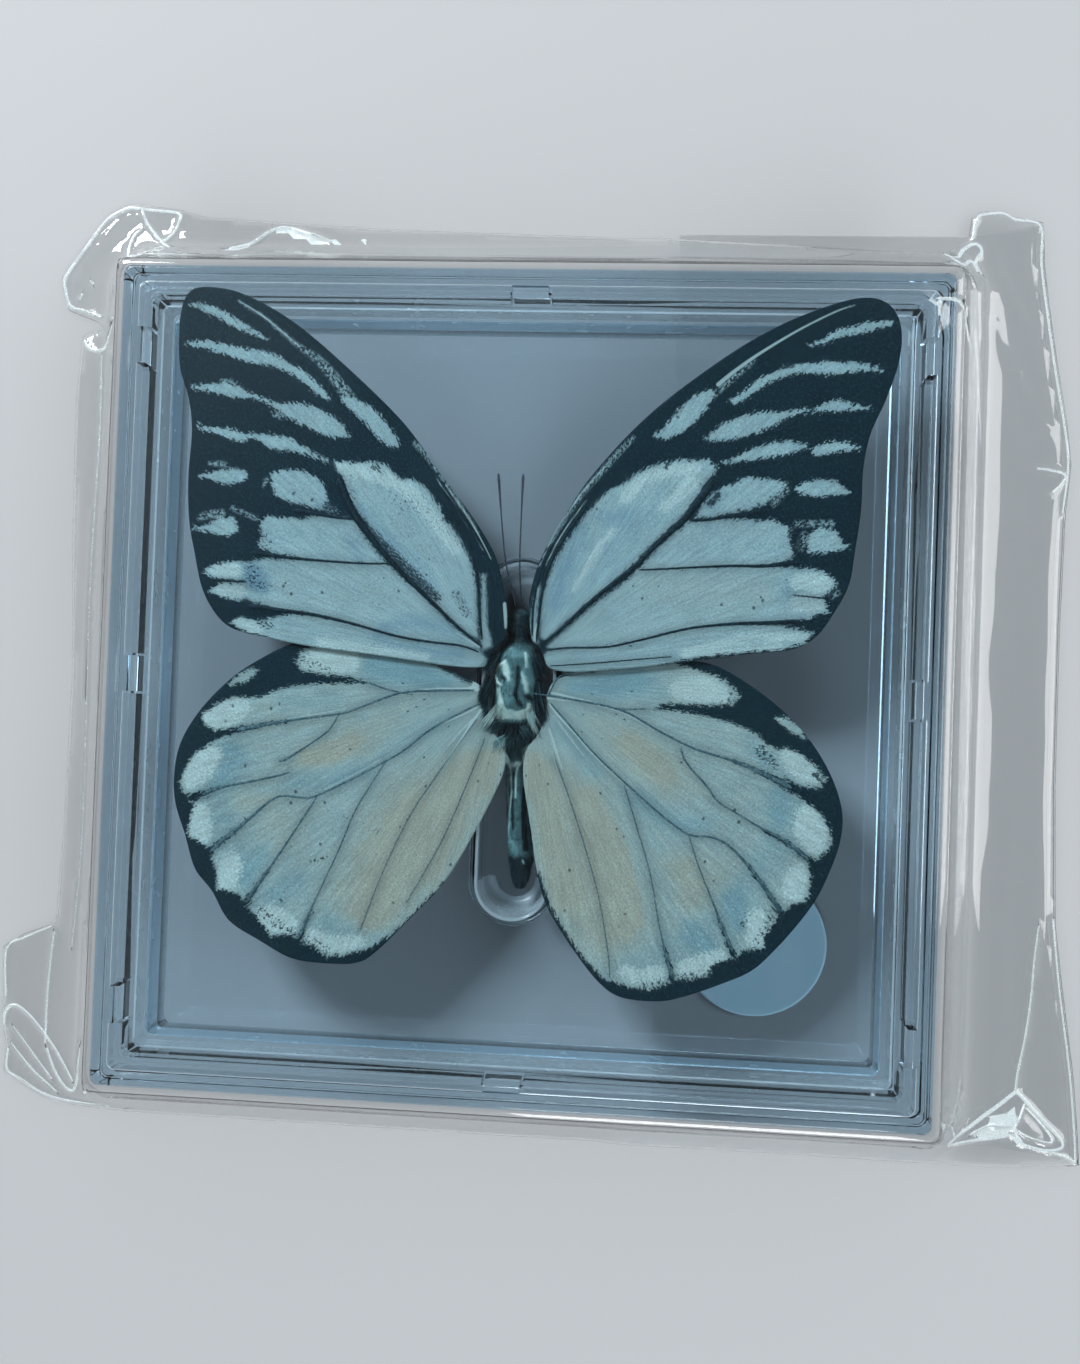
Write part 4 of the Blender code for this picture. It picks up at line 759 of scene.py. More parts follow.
RIGHT_HINDWING_VEINS = (
    ((1.8, -0.7, 0.1), (7.7, -1.4, 0.11), (13.0, -2.5, 0.1), (17.1, -4.6, 0.1),
     (21.5, -6.6, 0.1), (26.2, -7.9, 0.14), (30.0, -9.4, 0.22), (33.0, -10.8, 0.3)),
    ((19.9, -6.6, 0.07), (20.6, -8.3, 0.09), (23.2, -11.1, 0.1), (24.4, -12.7, 0.08),
     (27.0, -14.2, 0.08), (29.7, -15.7, 0.1), (32.6, -17.1, 0.17), (35.3, -19.2, 0.25)),
    ((4.2, -1.9, 0.1), (9.7, -7.7, 0.09), (14.4, -11.8, 0.08), (18.2, -14.9, 0.09),
     (21.2, -16.8, 0.1), (23.8, -17.0, 0.1), (25.9, -17.9, 0.12), (28.2, -20.1, 0.15),
     (30.6, -23.1, 0.2), (32.2, -25.4, 0.25)),
    ((21.2, -17.0, 0.05), (22.4, -20.4, 0.06), (23.8, -23.6, 0.06), (25.3, -27.1, 0.13),
     (26.8, -30.4, 0.2)),
    ((13.3, -11.2, 0.05), (15.3, -17.1, 0.06), (16.8, -21.8, 0.05), (17.9, -27.1, 0.05),
     (18.8, -30.6, 0.1), (19.8, -33.9, 0.16)),
    ((5.0, -8.6, 0.05), (6.8, -13.0, 0.05), (9.4, -20.3, 0.05), (10.9, -25.3, 0.04),
     (12.1, -31.2, 0.05), (12.4, -34.1, 0.07)),
    ((4.0, -0.8, 0.1), (4.5, 0.6, 0.11), (5.6, 1.7, 0.1), (7.7, 2.1, 0.08), (9.3, 2.0, 0.06)),
    ((15.6, -2.1, 0.06), (12.6, -2.2, 0.05), (9.6, -1.8, 0.05)),
)

# Antennae: x, y and height over the platform along each, and their radii from head to tip
ANTENNA_PLACES = (0.0, 0.1, 0.7, 0.86, 0.97, 1.0)
ANTENNA_RADII = (0.12, 0.1, 0.09, 0.14, 0.19, 0.08)
LEFT_ANTENNA = ((-0.55, 9.7, -0.9), (-0.95, 11.4, 0.0), (-2.0, 16.0, 0.75), (-3.1, 25.6, 0.8))
RIGHT_ANTENNA = ((0.3, 9.7, -0.9), (0.05, 11.4, 0.0), (-0.15, 16.0, 0.75), (-0.1, 25.6, 0.8))

# Body sections from the head to the tail: y, middle x, middle height over the case's
# bottom, half width and half height
BODY_SECTIONS = (
    (9.5, 0.05, 6.1, 0.7, 0.6), (8.7, 0.05, 6.2, 1.4, 1.1), (7.6, 0.0, 6.2, 1.75, 1.35),
    (6.6, 0.0, 6.2, 1.3, 1.15), (5.9, 0.0, 6.1, 1.2, 1.2), (4.9, -0.05, 6.05, 2.0, 2.0),
    (3.2, -0.1, 6.05, 2.6, 2.5), (0.5, -0.15, 6.05, 2.9, 2.75), (-2.2, -0.15, 6.0, 2.85, 2.6),
    (-4.2, -0.15, 5.8, 2.3, 2.0), (-5.4, -0.15, 5.5, 1.4, 1.35), (-7.0, -0.1, 5.3, 1.1, 1.2),
    (-10.0, 0.0, 5.1, 1.2, 1.4), (-14.0, 0.4, 5.0, 1.35, 1.55), (-18.0, 0.8, 4.9, 1.5, 1.6),
    (-21.0, 1.05, 4.9, 1.5, 1.5), (-23.3, 1.05, 4.9, 1.05, 1.05), (-24.6, 1.0, 4.9, 0.45, 0.45),
)

# How pale the body is along its back, by y, and its lighter and darker marks
BODY_GROUND = (
    (11.0, 0.05), (5.4, 0.06), (4.6, 0.34), (3.0, 0.4), (-4.2, 0.36), (-5.0, 0.06), (-7.6, 0.1),
    (-9.0, 0.4), (-12.0, 0.34), (-16.0, 0.26), (-20.4, 0.26), (-20.9, 0.03), (-25.0, 0.02),
)
BODY_DULL = (
    ((-1.4, 4.2, 0.5), (-0.4, 4.0, 0.6), (0.8, 4.0, 0.4)),
    ((-1.0, 0.0, 0.8), (-0.8, -1.6, 0.8)),
    ((1.2, 2.2, 0.5), (1.5, 0.6, 0.5)),
    ((-0.4, -18.4, 0.3), (0.4, -19.8, 0.5)),
)
BODY_PALE = (
    ((-1.5, 2.7, 0.4), (-1.3, 1.9, 0.5), (-1.0, 0.9, 0.3)),
    ((-2.2, -0.4, 0.25), (-1.9, -1.4, 0.35), (-1.8, -2.6, 0.55), (-1.8, -3.6, 0.6)),
    ((-2.3, -3.5, 0.55), (-1.0, -3.3, 0.65), (0.5, -3.5, 0.5), (1.6, -3.2, 0.5)),
    ((1.6, -2.2, 0.35), (1.7, -3.6, 0.3), (2.0, -4.7, 0.25)),
    ((0.6, 1.7, 0.15), (0.9, 0.9, 0.28), (1.2, 0.0, 0.32), (1.3, -0.7, 0.2)),
    ((-1.1, -8.6, 0.2), (-0.6, -9.5, 0.25), (0.3, -9.3, 0.3), (0.9, -9.1, 0.2)),
    ((-0.9, -10.4, 0.1), (-0.8, -12.4, 0.12), (-0.55, -14.6, 0.08)),
    ((-0.45, -15.0, 0.12), (-0.5, -17.0, 0.16), (-0.6, -18.2, 0.06)),
)
# The fourth and fifth dark strokes, on the flanks between the wing roots, are black hair with painted shade
BODY_DARK = (
    ((0.15, 2.3, 0.22), (0.2, 1.2, 0.27), (0.15, 0.2, 0.22), (-0.1, -1.0, 0.25), (0.6, -2.2, 0.25)),
    ((-1.9, 1.15, 0.2), (-1.4, 0.85, 0.2)),
    ((1.4, -1.1, 0.3), (1.8, -1.5, 0.22)),
    ((-3.4, 3.4, 0.5), (-3.6, 0.0, 0.65), (-3.6, -3.6, 0.6)),
    ((2.7, 3.4, 0.5), (2.9, 0.0, 0.6), (2.9, -3.8, 0.6)),
    ((-0.1, -10.4, 0.08), (-0.1, -12.4, 0.08), (-0.12, -14.2, 0.16), (0.05, -17.2, 0.14)),
    ((1.2, -12.4, 0.2), (1.3, -16.0, 0.3), (1.7, -19.6, 0.3)),
    ((-2.4, -5.0, 0.3), (-0.6, -4.6, 0.3), (0.8, -4.9, 0.3), (2.0, -5.7, 0.25)),
)
# The last bright stroke, on the tail, is a painted glint
BODY_BRIGHT = (
    ((-1.5, 3.0, 0.07), (-2.3, 2.4, 0.12), (-2.65, 1.4, 0.16), (-2.4, 0.6, 0.13), (-1.9, 0.15, 0.1)),
    ((0.95, 4.2, 0.07), (1.1, 3.2, 0.1), (1.1, 2.4, 0.06)),
    ((0.2, -3.0, 0.05), (1.1, -2.75, 0.08), (1.6, -2.4, 0.05)),
    ((-2.5, -2.4, 0.1), (-2.75, -3.6, 0.16), (-3.0, -4.4, 0.1)),
    ((-0.6, -9.4, 0.08), (-0.4, -11.0, 0.09), (-0.3, -13.0, 0.08), (-0.42, -14.8, 0.06)),
    ((0.9, -9.0, 0.05), (0.3, -9.9, 0.09), (0.2, -11.2, 0.11), (0.25, -13.4, 0.05)),
    ((1.35, -21.0, 0.07), (1.5, -21.3, 0.06)),
)

# The body's marks in the order they are laid on, with how pale they are and their softness
BODY_BRIGHTEST = 1.25
BODY_MARKS = (
    (BODY_DULL, 0.5, 0.25),
    (BODY_PALE, 0.88, 0.14),
    (BODY_DARK, 0.0, 0.1),
    (BODY_BRIGHT, BODY_BRIGHTEST, 0.07),
)

# Tufts of long hair: from, to (both x, y and height over the case's bottom), how many,
# how far they scatter and how pale they are
HAIR_TUFTS = (
    ((-2.3, -2.6, 8.2), (-4.4, -5.8, 8.4), 28, 0.3, 0.85),
    ((-2.6, -3.6, 8.2), (-3.6, -5.4, 8.4), 18, 0.3, 0.7),
    ((1.6, -3.0, 8.2), (2.9, -6.1, 8.4), 28, 0.28, 0.85),
    ((1.9, -2.6, 8.2), (2.3, -4.9, 8.4), 18, 0.25, 0.75),
    ((-1.6, -4.4, 8.0), (-3.4, -5.4, 8.3), 120, 0.4, 0.1),
    ((0.6, -4.6, 7.6), (2.4, -6.4, 8.0), 110, 0.35, 0.12),
    ((-0.8, -5.4, 6.9), (-1.5, -8.2, 8.1), 110, 0.5, 0.12),
    ((0.6, -5.6, 6.9), (1.0, -8.0, 7.9), 110, 0.45, 0.1),
    ((-1.2, -6.0, 7.6), (-2.7, -7.4, 8.2), 60, 0.3, 0.6),
    ((-1.4, -6.2, 7.6), (-1.3, -8.0, 7.9), 40, 0.2, 0.75),
    ((1.9, -6.8, 7.7), (0.9, -9.2, 7.2), 60, 0.15, 0.85),
    ((-1.5, -7.4, 7.7), (-0.6, -9.6, 7.1), 60, 0.15, 0.9),
    # Near-black hair on the flanks between the wing roots: black hair with painted shade
    ((-2.6, 4.0, 8.0), (-4.2, 1.4, 8.3), 150, 0.5, 0.03),
    ((-3.0, 1.0, 7.6), (-4.2, -2.4, 8.2), 160, 0.4, 0.03),
    ((2.0, 3.8, 8.0), (3.2, 1.0, 8.3), 140, 0.4, 0.03),
    ((2.4, 0.6, 7.6), (3.4, -4.4, 8.2), 160, 0.4, 0.03),
)

# Folded legs: x, y and height over the case's bottom along each, for one side of the body
LEG_PATHS = (
    ((0.9, 3.2, 4.4), (1.9, 3.6, 3.0), (1.4, -0.5, 2.3), (1.1, -3.2, 2.2)),
    ((1.1, 0.4, 4.0), (2.4, 0.2, 2.9), (1.9, -4.4, 2.2), (1.5, -7.6, 2.1)),
    ((0.9, -2.4, 4.2), (2.0, -3.4, 3.0), (2.3, -8.0, 2.4), (2.1, -11.5, 2.3)),
)
LEG_RADIUS = 0.22
LEG_TONE = 0.05

# The eyes, either side of the head, and how finely the body is divided
HEAD_X = 0.05
EYE_PLACE = (1.15, 8.0, 6.35)
EYE_SIZE = (0.62, 0.75, 0.7)
BODY_RINGS = 230
BODY_SIDES = 72
CHEST = (-5.2, 5.4)

# How many hairs the body has, and what share of them grows between which places in y
HAIR_COUNT = 9000
HAIR_BANDS = ((-5.2, 5.4, 0.62), (5.4, 9.4, 0.12), (-24.4, -5.2, 0.26))
HAIR_POINTS = 7
WINDOW_CLEARANCE = 0.4


# Meshes

def place_object(name, data):
    """Put an object with the given data into the scene."""
    made = bpy.data.objects.new(name, data)
    bpy.context.scene.collection.objects.link(made)
    return made


def add_field(made, name, values):
    """Keep a number or a vector for each point of an object."""
    values = np.asarray(values, dtype=np.float32)
    kind, key = ("FLOAT_VECTOR", "vector") if values.ndim == 2 else ("FLOAT", "value")
    field = made.data.attributes.new(name, kind, "POINT")
    field.data.foreach_set(key, values.ravel())


def mesh_object(name, points, faces, material, smooth=True):
    """Make an object in metres from points in millimetres."""
    mesh = bpy.data.meshes.new(name)
    mesh.from_pydata([tuple(point) for point in np.asarray(points) * MM], [], faces)
    mesh.materials.append(material)
    if smooth:
        mesh.shade_smooth()
    return place_object(name, mesh)


def bmesh_object(name, mesh_data, material):
    """Make an object in metres from a bmesh in millimetres."""
    bmesh.ops.scale(mesh_data, vec=(MM, MM, MM), verts=mesh_data.verts)
    bmesh.ops.recalc_face_normals(mesh_data, faces=mesh_data.faces)
    mesh = bpy.data.meshes.new(name)
    mesh_data.to_mesh(mesh)
    mesh_data.free()
    mesh.materials.append(material)
    return place_object(name, mesh)


def smooth_path(points, step, closed=False):
    """Even points on a smooth curve through the given ones, with all their values."""
    given = np.array(points, dtype=float)
    count = len(given)
    fine = []
    for i in range(count if closed else count - 1):
        if closed:
            before, start, end, after = (given[(i + k) % count] for k in (-1, 0, 1, 2))
        else:
            before, start, end, after = (given[min(max(i + k, 0), count - 1)] for k in (-1, 0, 1, 2))
        for t in np.linspace(0.0, 1.0, PATH_SHARES, endpoint=False):
            fine.append(0.5 * (2 * start + (end - before) * t
                               + (2 * before - 5 * start + 4 * end - after) * t * t
                               + (3 * start - before - 3 * end + after) * t ** 3))
    fine.append(fine[0] if closed else given[-1])
    fine = np.array(fine)
    lengths = np.concatenate(([0.0], np.cumsum(np.linalg.norm(np.diff(fine[:, :2], axis=0), axis=1))))
    places = np.linspace(0.0, lengths[-1], max(int(lengths[-1] / step), 2) + 1)
    if closed:
        places = places[:-1]
    return np.stack([np.interp(places, lengths, fine[:, k]) for k in range(fine.shape[1])], axis=1)


def tube_faces(base, rings, sides):
    """Faces of a closed tube made of rings of points, from the first point's number."""
    faces = []
    for i in range(rings - 1):
        for side in range(sides):
            a = base + i * sides + side
            b = base + i * sides + (side + 1) % sides
            faces.append((a, b, b + sides, a + sides))
    faces.append(tuple(base + side for side in range(sides))[::-1])
    last = base + (rings - 1) * sides
    faces.append(tuple(last + side for side in range(sides)))
    return faces


# Fields over a wing

def segment_distance(spots, start, end):
    """Distance of many spots to one line segment, and how far along it each is nearest."""
    span = end - start
    along = np.clip(((spots - start) @ span) / max(span @ span, 1e-9), 0.0, 1.0)
    return np.linalg.norm(spots - (start + along[:, None] * span), axis=1), along


def polygon_inside(spots, outline):
    """How deep each spot lies inside an outline, negative outside."""
    corners = np.array(outline)
    distance = np.full(len(spots), 1e9)
    inside = np.zeros(len(spots), dtype=bool)
    for start, end in zip(corners, np.roll(corners, -1, axis=0)):
        distance = np.minimum(distance, segment_distance(spots, start, end)[0])
        crosses = (start[1] > spots[:, 1]) != (end[1] > spots[:, 1])
        rise = end[1] - start[1] if abs(end[1] - start[1]) > 1e-9 else 1e-9
        inside ^= crosses & (spots[:, 0] < (end[0] - start[0]) * (spots[:, 1] - start[1]) / rise + start[0])
    return np.where(inside, distance, -distance)


def stroke_inside(spots, stroke):
    """How deep each spot lies inside a stroke of changing width, negative outside."""
    path = smooth_path(stroke, STROKE_STEP)
    depth = np.full(len(spots), -1e9)
    low = path[:, :2].min(axis=0) - STROKE_MARGIN
    high = path[:, :2].max(axis=0) + STROKE_MARGIN
    near = np.all((spots > low) & (spots < high), axis=1)
    close_spots = spots[near]
    close_depth = depth[near]
    for start, end in zip(path, path[1:]):
        distance, along = segment_distance(close_spots, start[:2], end[:2])
        close_depth = np.maximum(close_depth, start[2] + along * (end[2] - start[2]) - distance)
    depth[near] = close_depth
    return depth


def strokes_depth(spots, strokes):
    """The deepest of several strokes at each spot."""
    depth = np.full(len(spots), -FAR)
    for stroke in strokes:
        depth = np.maximum(depth, stroke_inside(spots, stroke))
    return depth


def areas_depth(spots, outlines):
    """The deepest of several areas at each spot."""
    depth = np.full(len(spots), -FAR)
    for outline in outlines:
        depth = np.maximum(depth, polygon_inside(spots, outline))
    return depth


def faded(strength, depth, blur):
    """A strength that fades out over a width around the edge, where the depth is nothing."""
    return strength / (1.0 + np.exp(np.clip(-depth / blur * 2.0, -40.0, 40.0)))


def soft_areas(spots, areas):
    """The sum of soft areas, each an outline with its strength and the width it fades over."""
    total = np.zeros(len(spots))
    for outline, strength, blur in areas:
        total += faded(strength, polygon_inside(spots, outline), blur)
    return total


def soft_strokes(spots, strokes, blur):
    """The sum of soft strokes, each with its own strength, that fade out over a width."""
    total = np.zeros(len(spots))
    for stroke, strength in strokes:
        total += faded(strength, stroke_inside(spots, stroke), blur)
    return total


def wing_fields(spots, wing):
    """The markings of a wing, with its painted highlights, as smooth fields over its spots."""
    areas = areas_depth(spots, wing["areas"])
    streaks = strokes_depth(spots, wing["streaks"])
    if wing["black_ground"]:
        black = -np.maximum(areas, streaks)
    else:
        black = np.maximum(areas, strokes_depth(spots, wing["black_veins"]))
        black = np.minimum(black, -streaks)
    whites = soft_strokes(spots, [(stroke, 1.0) for stroke in wing["whites"]], WHITE_BLUR)
    shade = soft_strokes(spots, wing["shades"], SHADE_BLUR) + soft_areas(spots, wing["tints"])
    away = spots - np.array(wing["root"])
    reach = np.linalg.norm(away, axis=1)
    turn = np.arctan2(away[:, 1], away[:, 0] * wing["side"])
    return {
        "black": np.clip(black, -3.0, 3.0),
        "sprinkle": np.clip(strokes_depth(spots, wing["sprinkles"]), -3.0, 3.0),
        "white": np.clip(whites, 0.0, 1.0),
        "shade": np.clip(shade, -1.5, 1.5),
        "vein": np.clip(-strokes_depth(spots, wing["veins"]), -0.5, 3.0),
        # The line field carries the painted highlights
        "line": np.clip(strokes_depth(spots, wing["lines"]), -1.0, 1.0),
        "dust": np.clip(soft_strokes(spots, wing["dust"], DUST_BLUR), 0.0, 1.0),
        "flow": np.stack([reach, turn * FLOW_TURN, np.zeros(len(spots))], axis=1),
    }


def vein_tube(path, height, faces, points):
    """Add a low rounded ridge along a vein to lists of points and faces."""
    line = smooth_path(path, STROKE_STEP)
    sides = VEIN_SIDES
    base = len(points)
    for i, (x, y, half) in enumerate(line):
        ahead = line[min(i + 1, len(line) - 1)] - line[max(i - 1, 0)]
        length = max(math.hypot(ahead[0], ahead[1]), 1e-9)
        across_x, across_y = -ahead[1] / length, ahead[0] / length
        if i in (0, len(line) - 1):
            half = half * VEIN_TAPER
        for side in range(sides):
            angle = 2 * math.pi * side / sides
            out = half * math.cos(angle)
            points.append((x + across_x * out, y + across_y * out,
                           height + VEIN_RISE * half * math.sin(angle)))
    faces += tube_faces(base, len(line), sides)


def wing_relief(spots, wing):
    """Shallow pleats: ridges along the veins and troughs between them."""
    nearest = np.full(len(spots), FAR)
    for vein in wing["veins"]:
        path = smooth_path(vein, 1.0)
        for start, end in zip(path, path[1:]):
            nearest = np.minimum(nearest, segment_distance(spots, start[:2], end[:2])[0])
    ridge = PLEAT_DEPTH * np.exp(-nearest / RIDGE_REACH)
    return ridge - PLEAT_DEPTH * (1.0 - np.exp(-(nearest / TROUGH_REACH) ** 2))


def span_outline(border, places, edges):
    """Triangles over an outline and the places inside it; the outline's points come first."""
    spots = [Vector(point) for point in border] + [Vector(point) for point in places]
    count = len(border)
    lines = [(i, (i + 1) % count) for i in range(count)]
    lines += [(count + first, count + second) for first, second in edges]
    flat, _, triangles, _, _, _ = delaunay_2d_cdt(spots, lines, [], 1, 1e-6)
    return np.array([(point.x, point.y) for point in flat]), [tuple(face) for face in triangles]


def even_spots(border):
    """Spots of an even triangular grid inside a wing's border."""
    low = border.min(axis=0)
    high = border.max(axis=0)
    rows = []
    for row, y in enumerate(np.arange(low[1], high[1], WING_STEP * math.sqrt(3) / 2)):
        start = low[0] + (row % 2) * WING_STEP / 2
        xs = np.arange(start, high[0], WING_STEP)
        rows.append(np.stack([xs, np.full(len(xs), y)], axis=1))
    spots = np.concatenate(rows)
    return spots[polygon_inside(spots, border[::2]) > WING_STEP * 0.6]


def build_wing(wing, vein_material):
    """A thin wing with its markings as fields, and its raised veins."""
    border = smooth_path(wing["outline"], WING_STEP, closed=True)
    flat, triangles = span_outline(border, even_spots(border), [])
    count = len(flat)
    lower = np.column_stack((flat, wing["height"] + wing_relief(flat, wing)))
    upper = lower + (0.0, 0.0, WING_THICKNESS)
    points = list(upper) + list(lower)
    faces = triangles + [tuple(count + i for i in reversed(face)) for face in triangles]
    faces += wing_rim(triangles, count)
    skin_faces = len(faces)
    for vein in wing["veins"]:
        vein_tube(vein, wing["height"] + WING_THICKNESS + VEIN_LIFT, faces, points)
    made = mesh_object(wing["name"], points, faces, wing["material"])
    made.data.materials.append(vein_material)
    slots = np.zeros(len(faces), dtype=np.int32)
    slots[skin_faces:] = 1
    made.data.polygons.foreach_set("material_index", slots)
    for name, values in wing_fields(np.array(points)[:, :2], wing).items():
        add_field(made, name, values)
    finish_piece(made, wing["node"])


def wing_rim(triangles, count):
    """Faces that join the upper and lower skins around the open edge."""
    seen = {}
    for face in triangles:
        for a, b in zip(face, (*face[1:], face[0])):
            seen[(a, b)] = True
    return [(b, a, a + count, b + count) for a, b in seen if (b, a) not in seen]


def hindwings(scales):
    """The hindwings, pale with black borders and veins."""
    shared = {"height": HINDWING_HEIGHT, "material": scales, "black_ground": False, "sprinkles": ()}
    left = {
        "name": "left_hindwing_skin", "node": "left_hindwing", "outline": LEFT_HINDWING,
        "areas": (LEFT_HINDWING_BORDER, LEFT_HINDWING_BASE_SHADE, LEFT_HINDWING_ROOT),
        "streaks": LEFT_HINDWING_STREAKS, "black_veins": LEFT_HINDWING_BLACK_VEINS,
        "whites": LEFT_HINDWING_WHITES, "shades": LEFT_HINDWING_SHADES, "tints": LEFT_HINDWING_TINTS,
        "lines": LEFT_HINDWING_PAINTED_HIGHLIGHTS, "dust": LEFT_HINDWING_DUST, "veins": LEFT_HINDWING_VEINS,
        "root": (-1.0, 1.0), "side": -1,
    }
    right = {
        "name": "right_hindwing_skin", "node": "right_hindwing", "outline": RIGHT_HINDWING,
        "areas": (RIGHT_HINDWING_BORDER, RIGHT_HINDWING_ROOT),
        "streaks": RIGHT_HINDWING_STREAKS, "black_veins": RIGHT_HINDWING_BLACK_VEINS,
        "whites": RIGHT_HINDWING_WHITES, "shades": RIGHT_HINDWING_SHADES, "tints": RIGHT_HINDWING_TINTS,
        "lines": RIGHT_HINDWING_PAINTED_HIGHLIGHTS, "dust": RIGHT_HINDWING_DUST, "veins": RIGHT_HINDWING_VEINS,
        "root": (1.0, 1.0), "side": 1,
    }
    return [{**shared, **wing} for wing in (left, right)]


def forewings(scales):
    """The forewings, black with pale fields and streaks."""
    shared = {"height": FOREWING_HEIGHT, "material": scales, "black_ground": True}
    left = {
        "name": "left_forewing_skin", "node": "left_forewing", "outline": LEFT_FOREWING,
        "areas": (LEFT_FOREWING_CELL, LEFT_FOREWING_MIDDLE, LEFT_FOREWING_LOWER,
                  LEFT_FOREWING_REAR, LEFT_FOREWING_BASE, LEFT_FOREWING_OVAL),
        "streaks": LEFT_FOREWING_STREAKS, "sprinkles": LEFT_FOREWING_SPRINKLES,
        "whites": LEFT_FOREWING_WHITES, "shades": LEFT_FOREWING_SHADES, "tints": LEFT_FOREWING_TINTS,
        "lines": LEFT_FOREWING_PAINTED_HIGHLIGHTS, "dust": LEFT_FOREWING_DUST, "veins": LEFT_FOREWING_VEINS,
        "root": (-1.0, 2.0), "side": -1,
    }
    right = {
        "name": "right_forewing_skin", "node": "right_forewing", "outline": RIGHT_FOREWING,
        "areas": (RIGHT_FOREWING_CELL, RIGHT_FOREWING_MIDDLE, RIGHT_FOREWING_LOWER,
                  RIGHT_FOREWING_REAR, RIGHT_FOREWING_BASE, RIGHT_FOREWING_OVAL,
                  RIGHT_FOREWING_TOOTH),
        "streaks": RIGHT_FOREWING_STREAKS, "sprinkles": RIGHT_FOREWING_SPRINKLES,
        "whites": RIGHT_FOREWING_WHITES, "shades": RIGHT_FOREWING_SHADES, "tints": RIGHT_FOREWING_TINTS,
        "lines": RIGHT_FOREWING_PAINTED_HIGHLIGHTS, "dust": RIGHT_FOREWING_DUST, "veins": RIGHT_FOREWING_VEINS,
        "root": (1.0, 2.0), "side": 1,
    }
    return [{**shared, **wing} for wing in (left, right)]


# Materials

class Nodes:
    """A material's node tree with short ways to add to it."""

    def __init__(self, name):
        self.material = bpy.data.materials.new(name)
        self.material.use_nodes = True
        self.tree = self.material.node_tree
        self.shader = self.tree.nodes["Principled BSDF"]

    def add(self, kind, **settings):
        """Add a node; settings are its own properties."""
        node = self.tree.nodes.new(kind)
        for key, value in settings.items():
            setattr(node, key, value)
        return node

    def link(self, output, target):
        """Join an output to an input."""
        self.tree.links.new(output, target)

    def set(self, **values):
        """Set plain values on the shader's sockets, named with spaces as underscores."""
        for key, value in values.items():
            self.shader.inputs[key.replace("_", " ")].default_value = value

    def place(self):
        """The place on the object."""
        return self.add("ShaderNodeTexCoord").outputs["Object"]

    def colour(self, output):
        """Let an output be the surface's colour."""
        self.link(output, self.shader.inputs["Base Color"])

    def field(self, name):
        """Read a field of the mesh, as a number."""
        return self.add("ShaderNodeAttribute", attribute_name=name).outputs["Fac"]

    def math(self, operation, first, second=None, third=None):
        """A math node on sockets or numbers."""
        node = self.add("ShaderNodeMath", operation=operation)
        for i, value in enumerate((first, second, third)):
            if isinstance(value, (int, float)):
                node.inputs[i].default_value = value
            elif value is not None:
                self.link(value, node.inputs[i])
        return node.outputs[0]

    def noise(self, vector, scale, detail=3.0, roughness=0.6, stretch=None):
        """Noise over a vector, stretched by a scale along each axis if that is given."""
        if stretch:
            mapping = self.add("ShaderNodeMapping")
            mapping.inputs["Scale"].default_value = stretch
            self.link(vector, mapping.inputs["Vector"])
            vector = mapping.outputs[0]
        node = self.add("ShaderNodeTexNoise")
        node.inputs["Scale"].default_value = scale
        node.inputs["Detail"].default_value = detail
        node.inputs["Roughness"].default_value = roughness
        self.link(vector, node.inputs["Vector"])
        return node.outputs["Fac"]

    def ramp(self, value, low, high, out_low=0.0, out_high=1.0, smooth=True):
        """Map a range to another one."""
        kind = "SMOOTHSTEP" if smooth else "LINEAR"
        node = self.add("ShaderNodeMapRange", interpolation_type=kind)
        range_keys = ("From Min", "From Max", "To Min", "To Max")
        for key, number in zip(range_keys, (low, high, out_low, out_high)):
            node.inputs[key].default_value = number
        self.link(value, node.inputs["Value"])
        return node.outputs["Result"]

    def spread(self, value, reach):
        """Turn a noise into one that is spread evenly about nothing."""
        return self.ramp(value, 0.25, 0.75, -reach, reach, smooth=False)

    def mix(self, share, first, second):
        """Mix two colours, given as sockets or as colours."""
        node = self.add("ShaderNodeMix", data_type="RGBA")
        for value, key in ((share, 0), (first, 6), (second, 7)):
            if isinstance(value, tuple):
                node.inputs[key].default_value = (*value, 1.0)
            elif isinstance(value, (int, float)):
                node.inputs[key].default_value = value
            else:
                self.link(value, node.inputs[key])
        return node.outputs[2]

    def bump(self, height, strength, distance):
        """Bump the surface by a height, over a distance in metres."""
        node = self.add("ShaderNodeBump")
        node.inputs["Strength"].default_value = strength
        node.inputs["Distance"].default_value = distance
        self.link(height, node.inputs["Height"])
        self.link(node.outputs[0], self.shader.inputs["Normal"])


def srgb(red, green, blue):
    """A colour from 0 to 255 values as seen, in linear light."""
    return tuple((value / 255.0) ** 2.2 for value in (red, green, blue))


